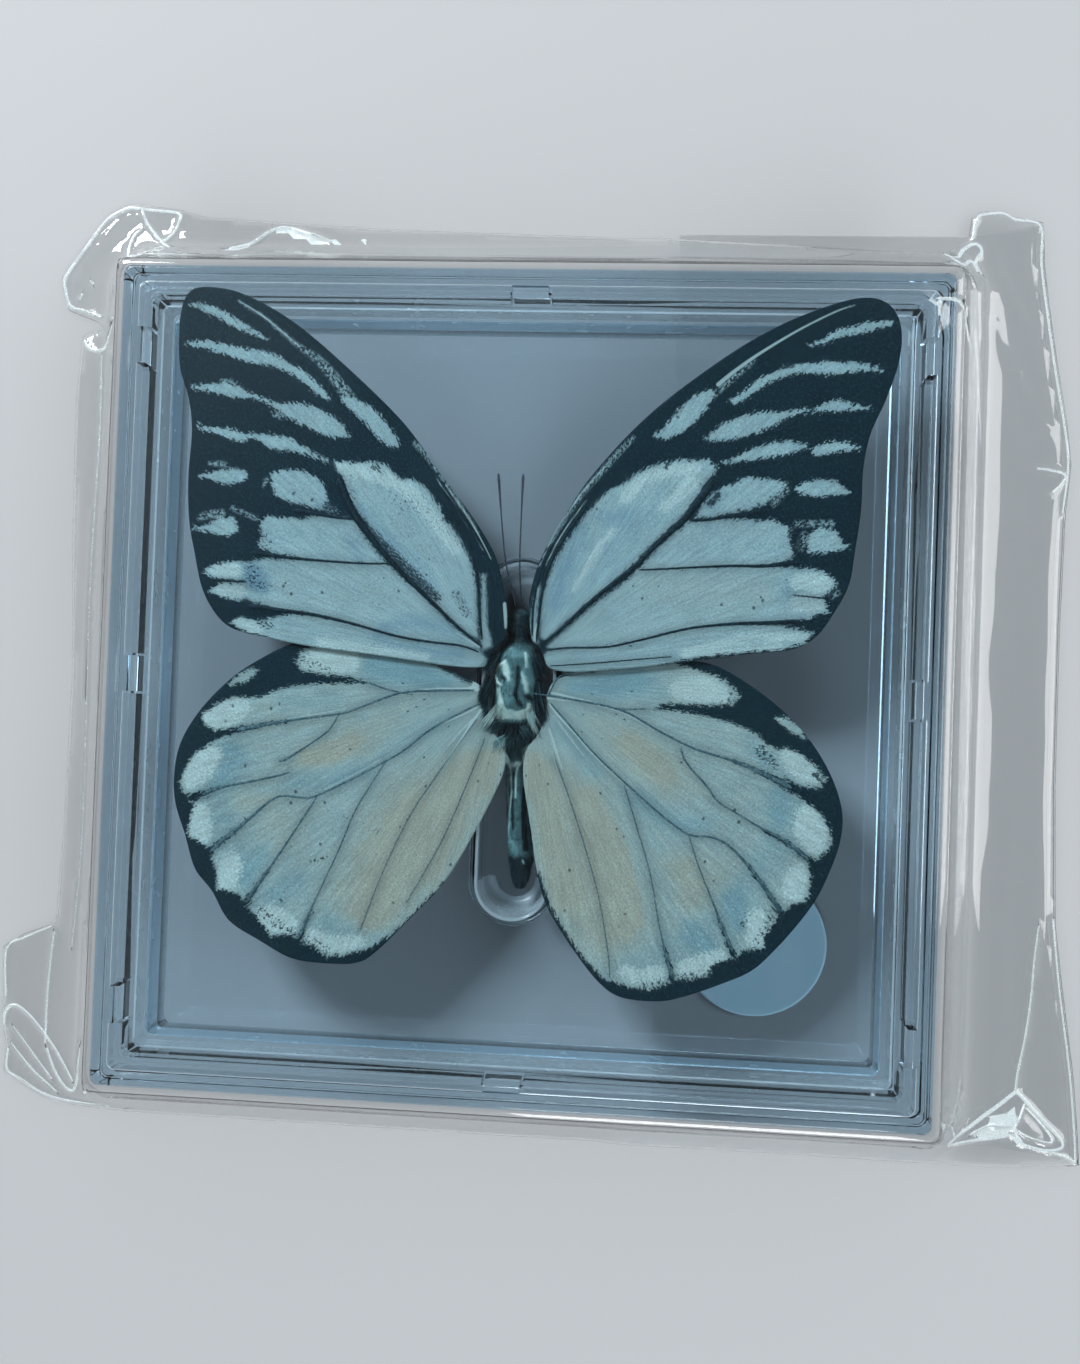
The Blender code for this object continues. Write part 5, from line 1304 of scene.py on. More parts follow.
def wing_material(name, ground, cream, cool, white, black, vein_tone, vein_share):
    """Wing scales: pale ground with shading and dust, ragged black markings, painted shade beside the veins
    and painted highlights.
    """
    nodes = Nodes(name)
    flow = nodes.add("ShaderNodeAttribute", attribute_name="flow").outputs["Vector"]
    long_jag = nodes.noise(flow, 1.0, 2.0, 0.6, (1.1, 5.0, 1.0))
    fine_jag = nodes.noise(flow, 1.0, 2.0, 0.7, (4.0, 9.0, 1.0))
    grain = nodes.noise(flow, 1.0, 2.0, 0.8, (3.4, 5.6, 1.0))
    jag = nodes.math("ADD", nodes.spread(long_jag, 0.36), nodes.spread(fine_jag, 0.28))
    jag = nodes.math("ADD", jag, nodes.spread(grain, 0.34))
    edge = nodes.math("ADD", nodes.field("black"), jag)
    marked = nodes.ramp(edge, -0.1, 0.14)

    speck = nodes.noise(flow, 1.0, 2.0, 0.75, (2.4, 4.6, 1.0))
    dust_limit = nodes.math("MULTIPLY_ADD", nodes.field("dust"), -0.42, 0.73)
    dusty = nodes.ramp(nodes.math("SUBTRACT", speck, dust_limit), -0.02, 0.05, 0.0, 0.9)
    dots = nodes.add("ShaderNodeTexVoronoi")
    dots.inputs["Scale"].default_value = 0.85
    nodes.link(flow, dots.inputs["Vector"])
    pick = nodes.add("ShaderNodeSeparateColor")
    nodes.link(dots.outputs["Color"], pick.inputs[0])
    chosen = nodes.ramp(pick.outputs[0], 0.86, 0.88)
    dot = nodes.math("MULTIPLY", nodes.ramp(dots.outputs["Distance"], 0.22, 0.1), chosen)
    dusty = nodes.math("MAXIMUM", dusty, nodes.math("MULTIPLY", dot, 0.75))
    sprinkle_depth = nodes.ramp(nodes.field("sprinkle"), -0.25, 0.3)
    pale_speck = nodes.ramp(speck, 0.44, 0.56)
    sprinkled = nodes.math("MULTIPLY", nodes.math("MULTIPLY", sprinkle_depth, pale_speck), 0.8)
    marked = nodes.math("MULTIPLY", marked, nodes.math("SUBTRACT", 1.0, sprinkled))
    marked = nodes.math("MAXIMUM", marked, dusty)

    shade = nodes.field("shade")
    patch = nodes.noise(flow, 1.0, 3.0, 0.6, (0.35, 0.9, 1.0))
    shade = nodes.math("ADD", shade, nodes.spread(patch, 0.35))
    tone = nodes.mix(nodes.ramp(shade, 0.0, 1.2, smooth=False), ground, cool)
    tone = nodes.mix(nodes.ramp(nodes.math("MULTIPLY", shade, -1.0), 0.0, 1.2, smooth=False), tone, cream)
    ragged = nodes.math("ADD", nodes.field("white"), jag)
    tone = nodes.mix(nodes.ramp(ragged, 0.1, 0.9), tone, white)
    streaks = nodes.noise(flow, 1.0, 4.0, 0.6, (0.25, 2.6, 1.0))
    clouds = nodes.noise(flow, 0.22, 3.0, 0.5)
    light = nodes.math("MULTIPLY", nodes.ramp(streaks, 0.3, 0.7, 0.8, 1.1, smooth=False),
                       nodes.ramp(grain, 0.28, 0.72, 0.66, 1.22, smooth=False))
    light = nodes.math("MULTIPLY", light, nodes.ramp(clouds, 0.3, 0.7, 0.92, 1.06, smooth=False))
    vein = nodes.field("vein")
    # Painted shade: the pale ground darkens beside each vein
    painted_vein_shade = nodes.ramp(vein, 0.0, 1.2, 0.78, 1.0)
    light = nodes.math("MULTIPLY", light, painted_vein_shade)
    pale = nodes.add("ShaderNodeVectorMath", operation="SCALE")
    nodes.link(tone, pale.inputs[0])
    nodes.link(light, pale.inputs["Scale"])
    on_vein = nodes.ramp(nodes.math("ADD", vein, nodes.spread(grain, 0.06)), 0.1, -0.04, 0.0, vein_share)
    pale = nodes.mix(on_vein, pale.outputs[0], vein_tone)
    dark = nodes.mix(nodes.ramp(clouds, 0.35, 0.65), black, srgb(12, 36, 44))
    dark_grain = nodes.mix(nodes.ramp(grain, 0.45, 0.8), dark, srgb(38, 80, 92))
    dark = nodes.mix(0.6, dark, dark_grain)
    colour = nodes.mix(marked, pale, dark)
    # Painted highlights: the line field turns fine lines along veins, folds and the forewings' front edges
    # white
    line = nodes.ramp(nodes.field("line"), -0.08, 0.07, 0.0, 0.7)
    colour = nodes.mix(line, colour, white)
    nodes.colour(colour)
    nodes.set(Roughness=0.7, Specular_IOR_Level=0.12)
    nodes.bump(nodes.math("ADD", grain, nodes.math("MULTIPLY", streaks, 1.5)), 0.4, 0.00008)
    return nodes.material


def vein_material(name, low, high):
    """The wings' veins, with a dull gloss and worn patches."""
    nodes = Nodes(name)
    place = nodes.place()
    worn = nodes.noise(place, 2600.0, 3.0, 0.7)
    colour = nodes.mix(nodes.ramp(worn, 0.35, 0.8), low, high)
    nodes.colour(colour)
    nodes.set(Roughness=0.6, Specular_IOR_Level=0.12)
    nodes.bump(worn, 0.3, 0.00004)
    return nodes.material


def clear_material(name, tint, clearness, ior, haze_noise, rough, bump=None):
    """A clear material whose roughness follows a faint haze."""
    nodes = Nodes(name)
    haze = nodes.noise(nodes.place(), *haze_noise)
    nodes.link(nodes.ramp(haze, *rough), nodes.shader.inputs["Roughness"])
    nodes.set(Base_Color=(*tint, 1.0), Transmission_Weight=clearness, IOR=ior)
    if bump:
        nodes.bump(haze, *bump)
    return nodes.material


def clear_plastic():
    """Moulded clear plastic, faintly blue, with faint scuffs."""
    return clear_material("clear_plastic", (0.77, 0.9, 0.985), 1.0, PLASTIC_IOR,
                          (60.0, 1.0, 0.6), (0.45, 0.8, 0.01, 0.03))


def plastic_painted_glint():
    """The same plastic made slightly milky, as painted glints and glow on the pocket's rim and bowl and the
    platform's wall.
    """
    return clear_material("plastic_painted_glint", (0.72, 0.9, 1.0), 0.66, PLASTIC_IOR,
                          (240.0, 2.0, 0.6), (0.35, 0.7, 0.08, 0.3), (0.05, 0.00003))


def bag_film():
    """Clear film with a faint unevenness."""
    return clear_material("bag_film", (0.985, 0.995, 1.0), 1.0, FILM_IOR,
                          (70.0, 1.0, 0.6), (0.4, 0.75, 0.01, 0.05), (0.04, 0.0003))


def film_crease_and_glint():
    """The same film, whitish and hazy along its creases: whitened by folding and painted lighter as the
    glints of the folds.
    """
    return clear_material("film_crease_and_glint", (0.86, 0.97, 1.0), 0.7, FILM_IOR,
                          (900.0, 2.0, 0.7), (0.3, 0.7, 0.1, 0.35), (0.2, 0.00005))


def toned(nodes, tone, dark, middle, pale):
    """Let a surface's colour run from dark over a middle one to pale with a tone."""
    colour = nodes.mix(nodes.ramp(tone, 0.05, 0.6, smooth=False), dark, middle)
    colour = nodes.mix(nodes.ramp(tone, 0.6, 1.0, smooth=False), colour, pale)
    nodes.colour(colour)


def body_material():
    """Skin under the hair: dark, with pale dust along the back; its tone also holds painted shade on the
    flanks and a painted glint on the tail.
    """
    nodes = Nodes("body_skin")
    place = nodes.place()
    patches = nodes.noise(place, 700.0, 4.0, 0.6)
    tone = nodes.field("tone")
    mixed = nodes.math("ADD", tone, nodes.ramp(patches, 0.3, 0.7, -0.12, 0.12, smooth=False))
    toned(nodes, mixed, srgb(6, 30, 38), srgb(116, 164, 170), srgb(214, 240, 232))
    nodes.set(Roughness=0.6, Specular_IOR_Level=0.25)
    nodes.bump(patches, 0.5, 0.0001)
    return nodes.material


def hair_material():
    """Fine hair whose colour follows where it grows."""
    nodes = Nodes("body_hair")
    toned(nodes, nodes.field("tone"), srgb(6, 32, 40), srgb(116, 164, 168), srgb(212, 238, 230))
    nodes.set(Roughness=0.65, Specular_IOR_Level=0.15)
    return nodes.material


def antenna_material():
    """Antennae, ringed black and grey."""
    nodes = Nodes("antenna_black")
    place = nodes.place()
    rings = nodes.add("ShaderNodeTexWave", bands_direction="Y")
    rings.inputs["Scale"].default_value = 420.0
    rings.inputs["Distortion"].default_value = 1.0
    nodes.link(place, rings.inputs["Vector"])
    colour = nodes.mix(nodes.ramp(rings.outputs["Fac"], 0.6, 0.95), srgb(12, 24, 34), srgb(44, 62, 74))
    nodes.colour(colour)
    nodes.set(Roughness=0.45)
    nodes.bump(rings.outputs["Fac"], 0.3, 0.00005)
    return nodes.material


def seal_material():
    """Pale blue paper with a soft grain."""
    nodes = Nodes("seal_paper")
    place = nodes.place()
    fibres = nodes.noise(place, 900.0, 4.0, 0.7)
    blotches = nodes.noise(place, 110.0, 3.0, 0.5)
    mixed = nodes.math("ADD", nodes.math("MULTIPLY", fibres, 0.5), nodes.math("MULTIPLY", blotches, 0.5))
    colour = nodes.mix(nodes.ramp(mixed, 0.35, 0.65), srgb(196, 234, 250), srgb(208, 238, 252))
    nodes.colour(colour)
    nodes.set(Roughness=0.55, Specular_IOR_Level=0.4)
    nodes.bump(fibres, 0.3, 0.00005)
    return nodes.material


# The case

def rounded_square(half, height, radius, steps=8):
    """Points around a square with round corners."""
    points = []
    for corner in range(4):
        middle_angle = math.radians(45 + 90 * corner)
        middle_x = math.copysign(half - radius, math.cos(middle_angle))
        middle_y = math.copysign(half - radius, math.sin(middle_angle))
        for step in range(steps + 1):
            angle = math.radians(90 * (corner + step / steps))
            points.append((middle_x + radius * math.cos(angle),
                           middle_y + radius * math.sin(angle), height))
    return points


def stadium(radius, height, steps=24):
    """Points around the pocket's outline, with half circles at its two ends."""
    points = []
    for middle_y, start in ((POCKET_FRONT_Y, 0.0), (POCKET_BACK_Y, 180.0)):
        for step in range(steps + 1):
            angle = math.radians(start + 180 * step / steps)
            points.append((POCKET_X + radius * math.cos(angle),
                           middle_y + radius * math.sin(angle), height))
    return points


def add_ring(mesh_data, points):
    """Add a closed ring of vertices."""
    return [mesh_data.verts.new(point) for point in points]


def join_all(mesh_data, rings):
    """Span each ring with the next one."""
    for first, second in zip(rings, rings[1:]):
        count = len(first)
        for i in range(count):
            j = (i + 1) % count
            mesh_data.faces.new((first[i], first[j], second[j], second[i]))


def ring_edges(mesh_data, ring):
    """Give the edges around a ring."""
    pairs = zip(ring, ring[1:] + ring[:1])
    return [mesh_data.edges.get(pair) or mesh_data.edges.new(pair) for pair in pairs]


def fill_between(mesh_data, outer, inner):
    """Fill the flat area between an outer ring and an inner one."""
    edges = ring_edges(mesh_data, outer) + ring_edges(mesh_data, inner)
    bmesh.ops.triangle_fill(mesh_data, use_beauty=True, use_dissolve=False, edges=edges)


def rounded_profile(corners):
    """Round the corners of a profile: each is half, height and rounding radius."""
    profile = []
    count = len(corners)
    for i, (half, height, radius) in enumerate(corners):
        if radius == 0.0 or i in (0, count - 1):
            profile.append((half, height))
            continue
        here = Vector((half, height))
        back = (Vector(corners[i - 1][:2]) - here).normalized() * radius
        ahead = (Vector(corners[i + 1][:2]) - here).normalized() * radius
        for t in (0.0, 0.25, 0.5, 0.75, 1.0):
            point = here + back * (1 - t) ** 2 + ahead * t ** 2
            profile.append((point.x, point.y))
    return profile


def add_box(mesh_data, low, high):
    """Add a box between two corners."""
    made = bmesh.ops.create_cube(mesh_data, size=1.0)["verts"]
    middle = [(a + b) / 2 for a, b in zip(low, high)]
    size = [b - a for a, b in zip(low, high)]
    bmesh.ops.scale(mesh_data, vec=size, verts=made)
    bmesh.ops.translate(mesh_data, vec=middle, verts=made)


def catch_boxes(name, half_width, inner, outer, low, high, material):
    """The hidden boxes that shape the catches, on all four sides of the case."""
    mesh_data = bmesh.new()
    for side in (-1, 1):
        near, far = sorted((side * inner, side * outer))
        for place in CATCH_SIDE_PLACES:
            add_box(mesh_data, (near, place - half_width, low), (far, place + half_width, high))
        for place in CATCH_END_PLACES:
            add_box(mesh_data, (place - half_width, near, low), (place + half_width, far, high))
    boxes = bmesh_object(name, mesh_data, material)
    boxes.hide_render = True
    boxes.hide_viewport = True
    return boxes


def shape_with(target, tool, operation):
    """Add or cut a tool's shape with an exact Boolean."""
    modifier = target.modifiers.new(tool.name, "BOOLEAN")
    modifier.operation = operation
    modifier.solver = "EXACT"
    modifier.object = tool


def settle_shape(target, sharp_angle):
    """Replace a shape by its finished mesh, with crisp corners between its flat faces."""
    graph = bpy.context.evaluated_depsgraph_get()
    mesh = bpy.data.meshes.new_from_object(target.evaluated_get(graph))
    target.modifiers.clear()
    target.data = mesh
    mesh.shade_smooth()
    mesh.set_sharp_from_angle(angle=math.radians(sharp_angle))


def build_case_front(material):
    """The clear window and its skirt, with rounded edges."""
    mesh_data = bmesh.new()
    profile = rounded_profile((
        (CASE_HALF - 1.2, CASE_TOP, 0.0),
        (CASE_HALF, CASE_TOP, EDGE_BEVEL),
        (CASE_HALF, SKIRT_BOTTOM, 0.2),
        (SKIRT_INNER, SKIRT_BOTTOM, 0.15),
        (SKIRT_INNER, WINDOW_UNDERSIDE, 0.3),
        (SKIRT_INNER - 1.0, WINDOW_UNDERSIDE, 0.0),
    ))
    rings = []
    for half, height in profile:
        radius = CORNER_RADIUS if half > SKIRT_INNER - 0.9 else CORNER_RADIUS * 0.6
        rings.append(add_ring(mesh_data, rounded_square(half, height, radius)))
    join_all(mesh_data, rings)
    mesh_data.faces.new(rings[0])
    mesh_data.faces.new(rings[-1])
    front = bmesh_object("case_window", mesh_data, material)
    ribs = catch_boxes("window_ribs", CATCH_WIDTH / 2 - FIT_GAP, SKIRT_INNER - 1.1,
                       SKIRT_INNER + 0.3, SKIRT_BOTTOM + 0.2, WINDOW_UNDERSIDE + 0.3, material)
    shape_with(front, ribs, "UNION")
    settle_shape(front, EDGE_ANGLE)
    return finish_piece(front, "case_front")


def mark_painted_glints(back):
    """Give the pocket's rim and bowl and the platform's wall the milky plastic of their painted glints and
    glow.
    """
    for polygon in back.data.polygons:
        x, y, z = polygon.center / MM
        past = max(y - POCKET_FRONT_Y, POCKET_BACK_Y - y, 0.0)
        rim = math.hypot(x - POCKET_X, past) - POCKET_RADIUS
        wall = max(abs(x), abs(y)) - PLATFORM_HALF
        on_rim = abs(rim) < GLINT_REACH and z > PLATFORM_TOP - GLINT_REACH
        on_wall = abs(wall) < GLINT_REACH and z > FLANGE_TOP + GLINT_REACH
        in_bowl = -BOWL_BAND < rim < -0.1 and (past > 0.0 or y < POCKET_BACK_Y + BOWL_REACH)
        polygon.material_index = int(on_rim or on_wall or in_bowl)


def back_profile():
    """Profile of the case's back, from the platform's top round to its underside."""
    return rounded_profile((
        (PLATFORM_HALF - 0.9, PLATFORM_TOP, 0.0),
        (PLATFORM_HALF, PLATFORM_TOP, 0.35),
        (PLATFORM_HALF, FLANGE_TOP, 0.3),
        (LIP_INNER, FLANGE_TOP, 0.25),
        (LIP_INNER, LIP_TOP, 0.2),
        (LIP_OUTER, LIP_TOP, 0.2),
        (LIP_OUTER, LEDGE_HEIGHT, 0.2),
        (CASE_HALF, LEDGE_HEIGHT, 0.2),
        (CASE_HALF, CASE_BOTTOM, 0.4),
        (PLATFORM_HALF - PLATFORM_WALL, CASE_BOTTOM, 0.2),
        (PLATFORM_HALF - PLATFORM_WALL, PLATFORM_UNDERSIDE, 0.3),
        (PLATFORM_HALF - PLATFORM_WALL - 1.0, PLATFORM_UNDERSIDE, 0.0),
    ))


def pocket_profiles():
    """Profiles of the pocket's inside and of its outside."""
    inside = rounded_profile((
        (POCKET_RADIUS + 0.6, PLATFORM_TOP, 0.0),
        (POCKET_RADIUS, PLATFORM_TOP, 0.4),
        (POCKET_RADIUS - 0.2, POCKET_FLOOR + 2.2, 0.3),
        (POCKET_RADIUS - 0.6, POCKET_FLOOR, 1.0),
        (POCKET_RADIUS - 2.4, POCKET_FLOOR, 0.0),
    ))
    outside = rounded_profile((
        (POCKET_RADIUS + POCKET_WALL + 0.5, PLATFORM_UNDERSIDE, 0.0),
        (POCKET_RADIUS + POCKET_WALL, PLATFORM_UNDERSIDE, 0.3),
        (POCKET_RADIUS + POCKET_WALL - 0.2, POCKET_FLOOR + 1.8, 0.3),
        (POCKET_RADIUS + 0.2, POCKET_FLOOR - POCKET_WALL, 1.2),
        (POCKET_RADIUS - 2.0, POCKET_FLOOR - POCKET_WALL, 0.0),
    ))
    return inside, outside


def build_case_back(material, bend):
    """The clear back with its ledge, lip, raised platform and body pocket."""
    mesh_data = bmesh.new()
    rings = [add_ring(mesh_data, rounded_square(half, height, CORNER_RADIUS))
             for half, height in back_profile()]
    join_all(mesh_data, rings)
    inside, outside = pocket_profiles()
    inner_rings = [add_ring(mesh_data, stadium(radius, height)) for radius, height in inside]
    outer_rings = [add_ring(mesh_data, stadium(radius, height)) for radius, height in outside]
    join_all(mesh_data, inner_rings)
    join_all(mesh_data, outer_rings)
    mesh_data.faces.new(inner_rings[-1])
    mesh_data.faces.new(outer_rings[-1])
    fill_between(mesh_data, rings[0], inner_rings[0])
    fill_between(mesh_data, rings[-1], outer_rings[0])
    back = bmesh_object("case_tray", mesh_data, material)
    notches = catch_boxes("tray_notches", CATCH_WIDTH / 2, LIP_INNER - 0.3, LIP_OUTER + 0.3,
                          LEDGE_HEIGHT + 0.1, LIP_TOP + 1.0, material)
    shape_with(back, notches, "DIFFERENCE")
    settle_shape(back, EDGE_ANGLE)
    # The second material is the milky plastic of the painted glints and glow
    back.data.materials.append(bend)
    mark_painted_glints(back)
    return finish_piece(back, "case_back")


def finish_piece(made, node):
    """Let a piece stand for its node and ride with it."""
    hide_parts(node)
    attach(made, "root")
    return made


# The body

def body_section(y):
    """Middle x, middle height, half width and half height of the body at a place."""
    places = np.array([section[0] for section in BODY_SECTIONS])[::-1]
    return [float(np.interp(y, places, np.array([section[k] for section in BODY_SECTIONS])[::-1]))
            for k in (1, 2, 3, 4)]


def body_tones(spots):
    """How pale the body is at many spots, from 0 for black to 1 for white."""
    tone = np.interp(spots[:, 1], [section[0] for section in BODY_GROUND][::-1],
                     [section[1] for section in BODY_GROUND][::-1])
    for strokes, value, blur in BODY_MARKS:
        share = np.clip(soft_strokes(spots, [(stroke, 1.0) for stroke in strokes], blur), 0.0, 1.0)
        tone = tone + (value - tone) * share
    return np.clip(tone, 0.0, BODY_BRIGHTEST)


def add_tube(points, faces, path, radii, sides):
    """Add a closed tube with its own radius at each point of its path."""
    base = len(points)
    places = [Vector(point) for point in path]
    for i, place in enumerate(places):
        along = (places[min(i + 1, len(places) - 1)] - places[max(i - 1, 0)]).normalized()
        across = along.cross(Vector((0, 0, 1))).normalized()
        over = across.cross(along).normalized()
        for side in range(sides):
            angle = 2 * math.pi * side / sides
            out = math.cos(angle) * across + math.sin(angle) * over
            points.append(tuple(place + float(radii[i]) * out))
    faces += tube_faces(base, len(places), sides)


def build_body(skin, hair):
    """Head, chest and tail with eyes and folded legs, covered in fine hair."""
    points = []
    ups = []
    ys = np.linspace(BODY_SECTIONS[0][0], BODY_SECTIONS[-1][0], BODY_RINGS)
    sides = BODY_SIDES
    for y in ys:
        middle_x, height, half_width, half_height = body_section(y)
        ripple = 1.0 + 0.03 * math.sin(y * 3.2) if y < -6.0 else 1.0
        for side in range(sides):
            angle = 2 * math.pi * side / sides
            x = middle_x + half_width * ripple * math.cos(angle)
            points.append((x, y, CASE_BOTTOM + height + half_height * ripple * math.sin(angle)))
            ups.append(max(math.sin(angle), 0.0) if -6.0 < y < 5.6 else 0.0)
    faces = tube_faces(0, len(ys), sides)
    body_count = len(points)
    for mirror in (-1, 1):
        eye_x, eye_y, eye_height = EYE_PLACE
        add_eye(points, faces, Vector((HEAD_X + mirror * eye_x, eye_y, CASE_BOTTOM + eye_height)))
        for path in LEG_PATHS:
            line = smooth_path([(mirror * x - 0.15, y, CASE_BOTTOM + height) for x, y, height in path], 0.4)
            radii = np.interp(np.linspace(0, 1, len(line)), (0.0, 0.3, 1.0), (1.0, 0.9, 0.5)) * LEG_RADIUS
            add_tube(points, faces, line, radii, 8)
    points = np.array(points)
    tones = body_tones(points[:, :2])
    tones[body_count:] = LEG_TONE
    points[:body_count, 2] += 0.4 * (tones[:body_count] - 0.45) * np.array(ups)
    made = mesh_object("body_solid", points, faces, skin)
    add_field(made, "tone", tones)
    finish_piece(made, "body")
    grow_hair(hair)


def add_eye(points, faces, middle):
    """Add one rounded eye to the head."""
    base = len(points)
    rows, sides = 8, 16
    for row in range(rows + 1):
        rise = math.pi * row / rows
        for side in range(sides):
            angle = 2 * math.pi * side / sides
            points.append((middle.x + EYE_SIZE[0] * math.sin(rise) * math.cos(angle),
                           middle.y + EYE_SIZE[1] * math.sin(rise) * math.sin(angle),
                           middle.z + EYE_SIZE[2] * math.cos(rise)))
    for row in range(rows):
        for side in range(sides):
            a = base + row * sides + side
            b = base + row * sides + (side + 1) % sides
            faces.append((a, a + sides, b + sides, b))


def add_hair(points, faces, root, direction, normal, length, width):
    """Add one tapered hair that bends away from the body."""
    across = direction.cross(normal).normalized() * width
    bend = root + direction * length * 0.5 + normal * 0.08 * length
    tip = root + direction * length
    tip.z = min(tip.z, WINDOW_UNDERSIDE - WINDOW_CLEARANCE)
    over = normal * width
    base = len(points)
    points.extend([tuple(root - across), tuple(root + across), tuple(root + over),
                   tuple(bend - across * 0.7), tuple(bend + across * 0.7), tuple(bend + over * 0.7),
                   tuple(tip)])
    faces.extend([(base, base + 1, base + 4, base + 3), (base + 1, base + 2, base + 5, base + 4),
                  (base + 2, base, base + 3, base + 5), (base + 3, base + 4, base + 6),
                  (base + 4, base + 5, base + 6), (base + 5, base + 3, base + 6),
                  (base, base + 2, base + 1)])


def grow_hair(material):
    """Fine tapered hairs over the body and its tufts, as one joined mesh."""
    random = np.random.default_rng(SEED)
    points = []
    faces = []
    roots = []
    ys = [random.uniform(low, high, int(HAIR_COUNT * share)) for low, high, share in HAIR_BANDS]
    for y in np.concatenate(ys):
        middle_x, height, half_width, half_height = body_section(y)
        angle = random.uniform(-0.3, math.pi + 0.3)
        normal = Vector((math.cos(angle), 0.0, math.sin(angle)))
        root = Vector((middle_x + half_width * math.cos(angle), y,
                       CASE_BOTTOM + height + half_height * math.sin(angle)))
        chest = CHEST[0] < y < CHEST[1]
        length = random.uniform(0.25, 0.7) if chest else random.uniform(0.2, 0.5)
        lean = Vector((random.normal(0.0, 0.3), -random.uniform(0.8, 1.5), random.normal(0.0, 0.15)))
        direction = (normal * random.uniform(0.1, 0.4) + lean).normalized()
        add_hair(points, faces, root, direction, normal, length, random.uniform(0.015, 0.035))
        roots.append((root.x, root.y - length * 0.4))
    tones = body_tones(np.array(roots)) + random.normal(0.0, 0.09, len(roots))
    tones = np.repeat(tones, HAIR_POINTS)
    up = Vector((0.0, 0.0, 1.0))
    for start, end, number, scatter, pale in HAIR_TUFTS:
        first = Vector(start) + CASE_BOTTOM * up
        last = Vector(end) + CASE_BOTTOM * up
        for _ in range(number):
            aside = Vector(random.normal(0.0, 1.0, 3)) * scatter
            aside.z *= 0.3
            root = first + aside * 0.7 + (last - first) * random.uniform(0.0, 0.35)
            tip = last + aside * random.uniform(0.6, 1.6)
            span = tip - root
            add_hair(points, faces, root, span.normalized(), up, span.length * random.uniform(0.7, 1.0),
                     random.uniform(0.015, 0.04))
            tones = np.append(tones, np.full(HAIR_POINTS, pale + random.normal(0.0, 0.08)))
    made = mesh_object("body_hairs", points, faces, material)
    add_field(made, "tone", np.clip(tones, 0.0, 1.0))
    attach(made, "root")


def build_antenna(name, path, node, material):
    """One antenna: thin, jointed and slightly clubbed at its tip."""
    line = smooth_path([(x, y, PLATFORM_TOP + height) for x, y, height in path], 0.25)
    share = np.linspace(0.0, 1.0, len(line))
    radii = np.interp(share, ANTENNA_PLACES, ANTENNA_RADII)
    radii = radii * (1.0 + 0.1 * np.sin(np.arange(len(line)) * 2.1))
    points = []
    faces = []
    add_tube(points, faces, line, radii, 10)
    finish_piece(mesh_object(name, points, faces, material), node)


# The seal

def build_seal(material):
    """The round sticker, a thin disc with the faint waves of pressed paper."""
    random = np.random.default_rng(SEED)
    rings = SEAL_RINGS
    sides = SEAL_SIDES
    points = []
    faces = []
    for level in (1, 0):
        for ring in range(rings + 1):
            radius = SEAL_RADIUS * ring / rings
            for side in range(sides):
                angle = 2 * math.pi * side / sides
                wave = SEAL_WAVE * math.sin(radius * 0.9 + 3 * angle) * ring / rings
                height = FILM + SEAL_GAP + wave + level * SEAL_THICKNESS
                edge = radius + (random.normal(0.0, SEAL_RAGGED) if ring == rings and level else 0.0)
                points.append((SEAL_X + edge * math.cos(angle), SEAL_Y + edge * math.sin(angle), height))
    per_level = (rings + 1) * sides
    for level in (0, 1):
        for ring in range(rings):
            for side in range(sides):
                a = level * per_level + ring * sides + side
                b = level * per_level + ring * sides + (side + 1) % sides
                quad = (a, a + sides, b + sides, b)
                faces.append(quad if level == 0 else quad[::-1])
    rim = rings * sides
    for side in range(sides):
        a = rim + side
        b = rim + (side + 1) % sides
        faces.append((a, a + per_level, b + per_level, b))
    finish_piece(mesh_object("seal_disc", points, faces, material), "seal_sticker")


# The bag

def straight_places(corners, step):
    """Even places along straight lines between corners, without the last corner."""
    places = []
    for start, end in zip(corners, corners[1:]):
        count = max(round(math.dist(start, end) / step), 1)
        for i in range(count):
            share = i / count
            places.append((start[0] + (end[0] - start[0]) * share, start[1] + (end[1] - start[1]) * share))
    return places


def back_sheet_height(x):
    """Middle of the back sheet: on the surface at the left, over the flap at the right."""
    start, end = BACK_SHEET_RISE_X
    share = np.clip((x - start) / (end - start), 0.0, 1.0)
    return FILM / 2 + BACK_SHEET_RISE * share * share * (3 - 2 * share)


def film_waves(x, y):
    """Gentle waves over the window and long narrow ones in the film's wide margins."""
    free = np.clip((np.abs(x) - CASE_HALF - 6.0) / 4.0, 0.0, 1.0)
    broad = 0.5 + 0.25 * np.sin(x * 0.21 + 0.9 * np.sin(y * 0.13)) + 0.25 * np.sin(y * 0.17 - x * 0.05 + 1.3)
    narrow = np.sin(x * 1.7 + 0.9 * np.sin(y * 0.19)) + 0.8 * np.sin(y * 0.45 + 1.3 * np.sin(x * 0.31))
    return WINDOW_WAVE * broad + free * (MARGIN_LIFT + MARGIN_WAVE * narrow)


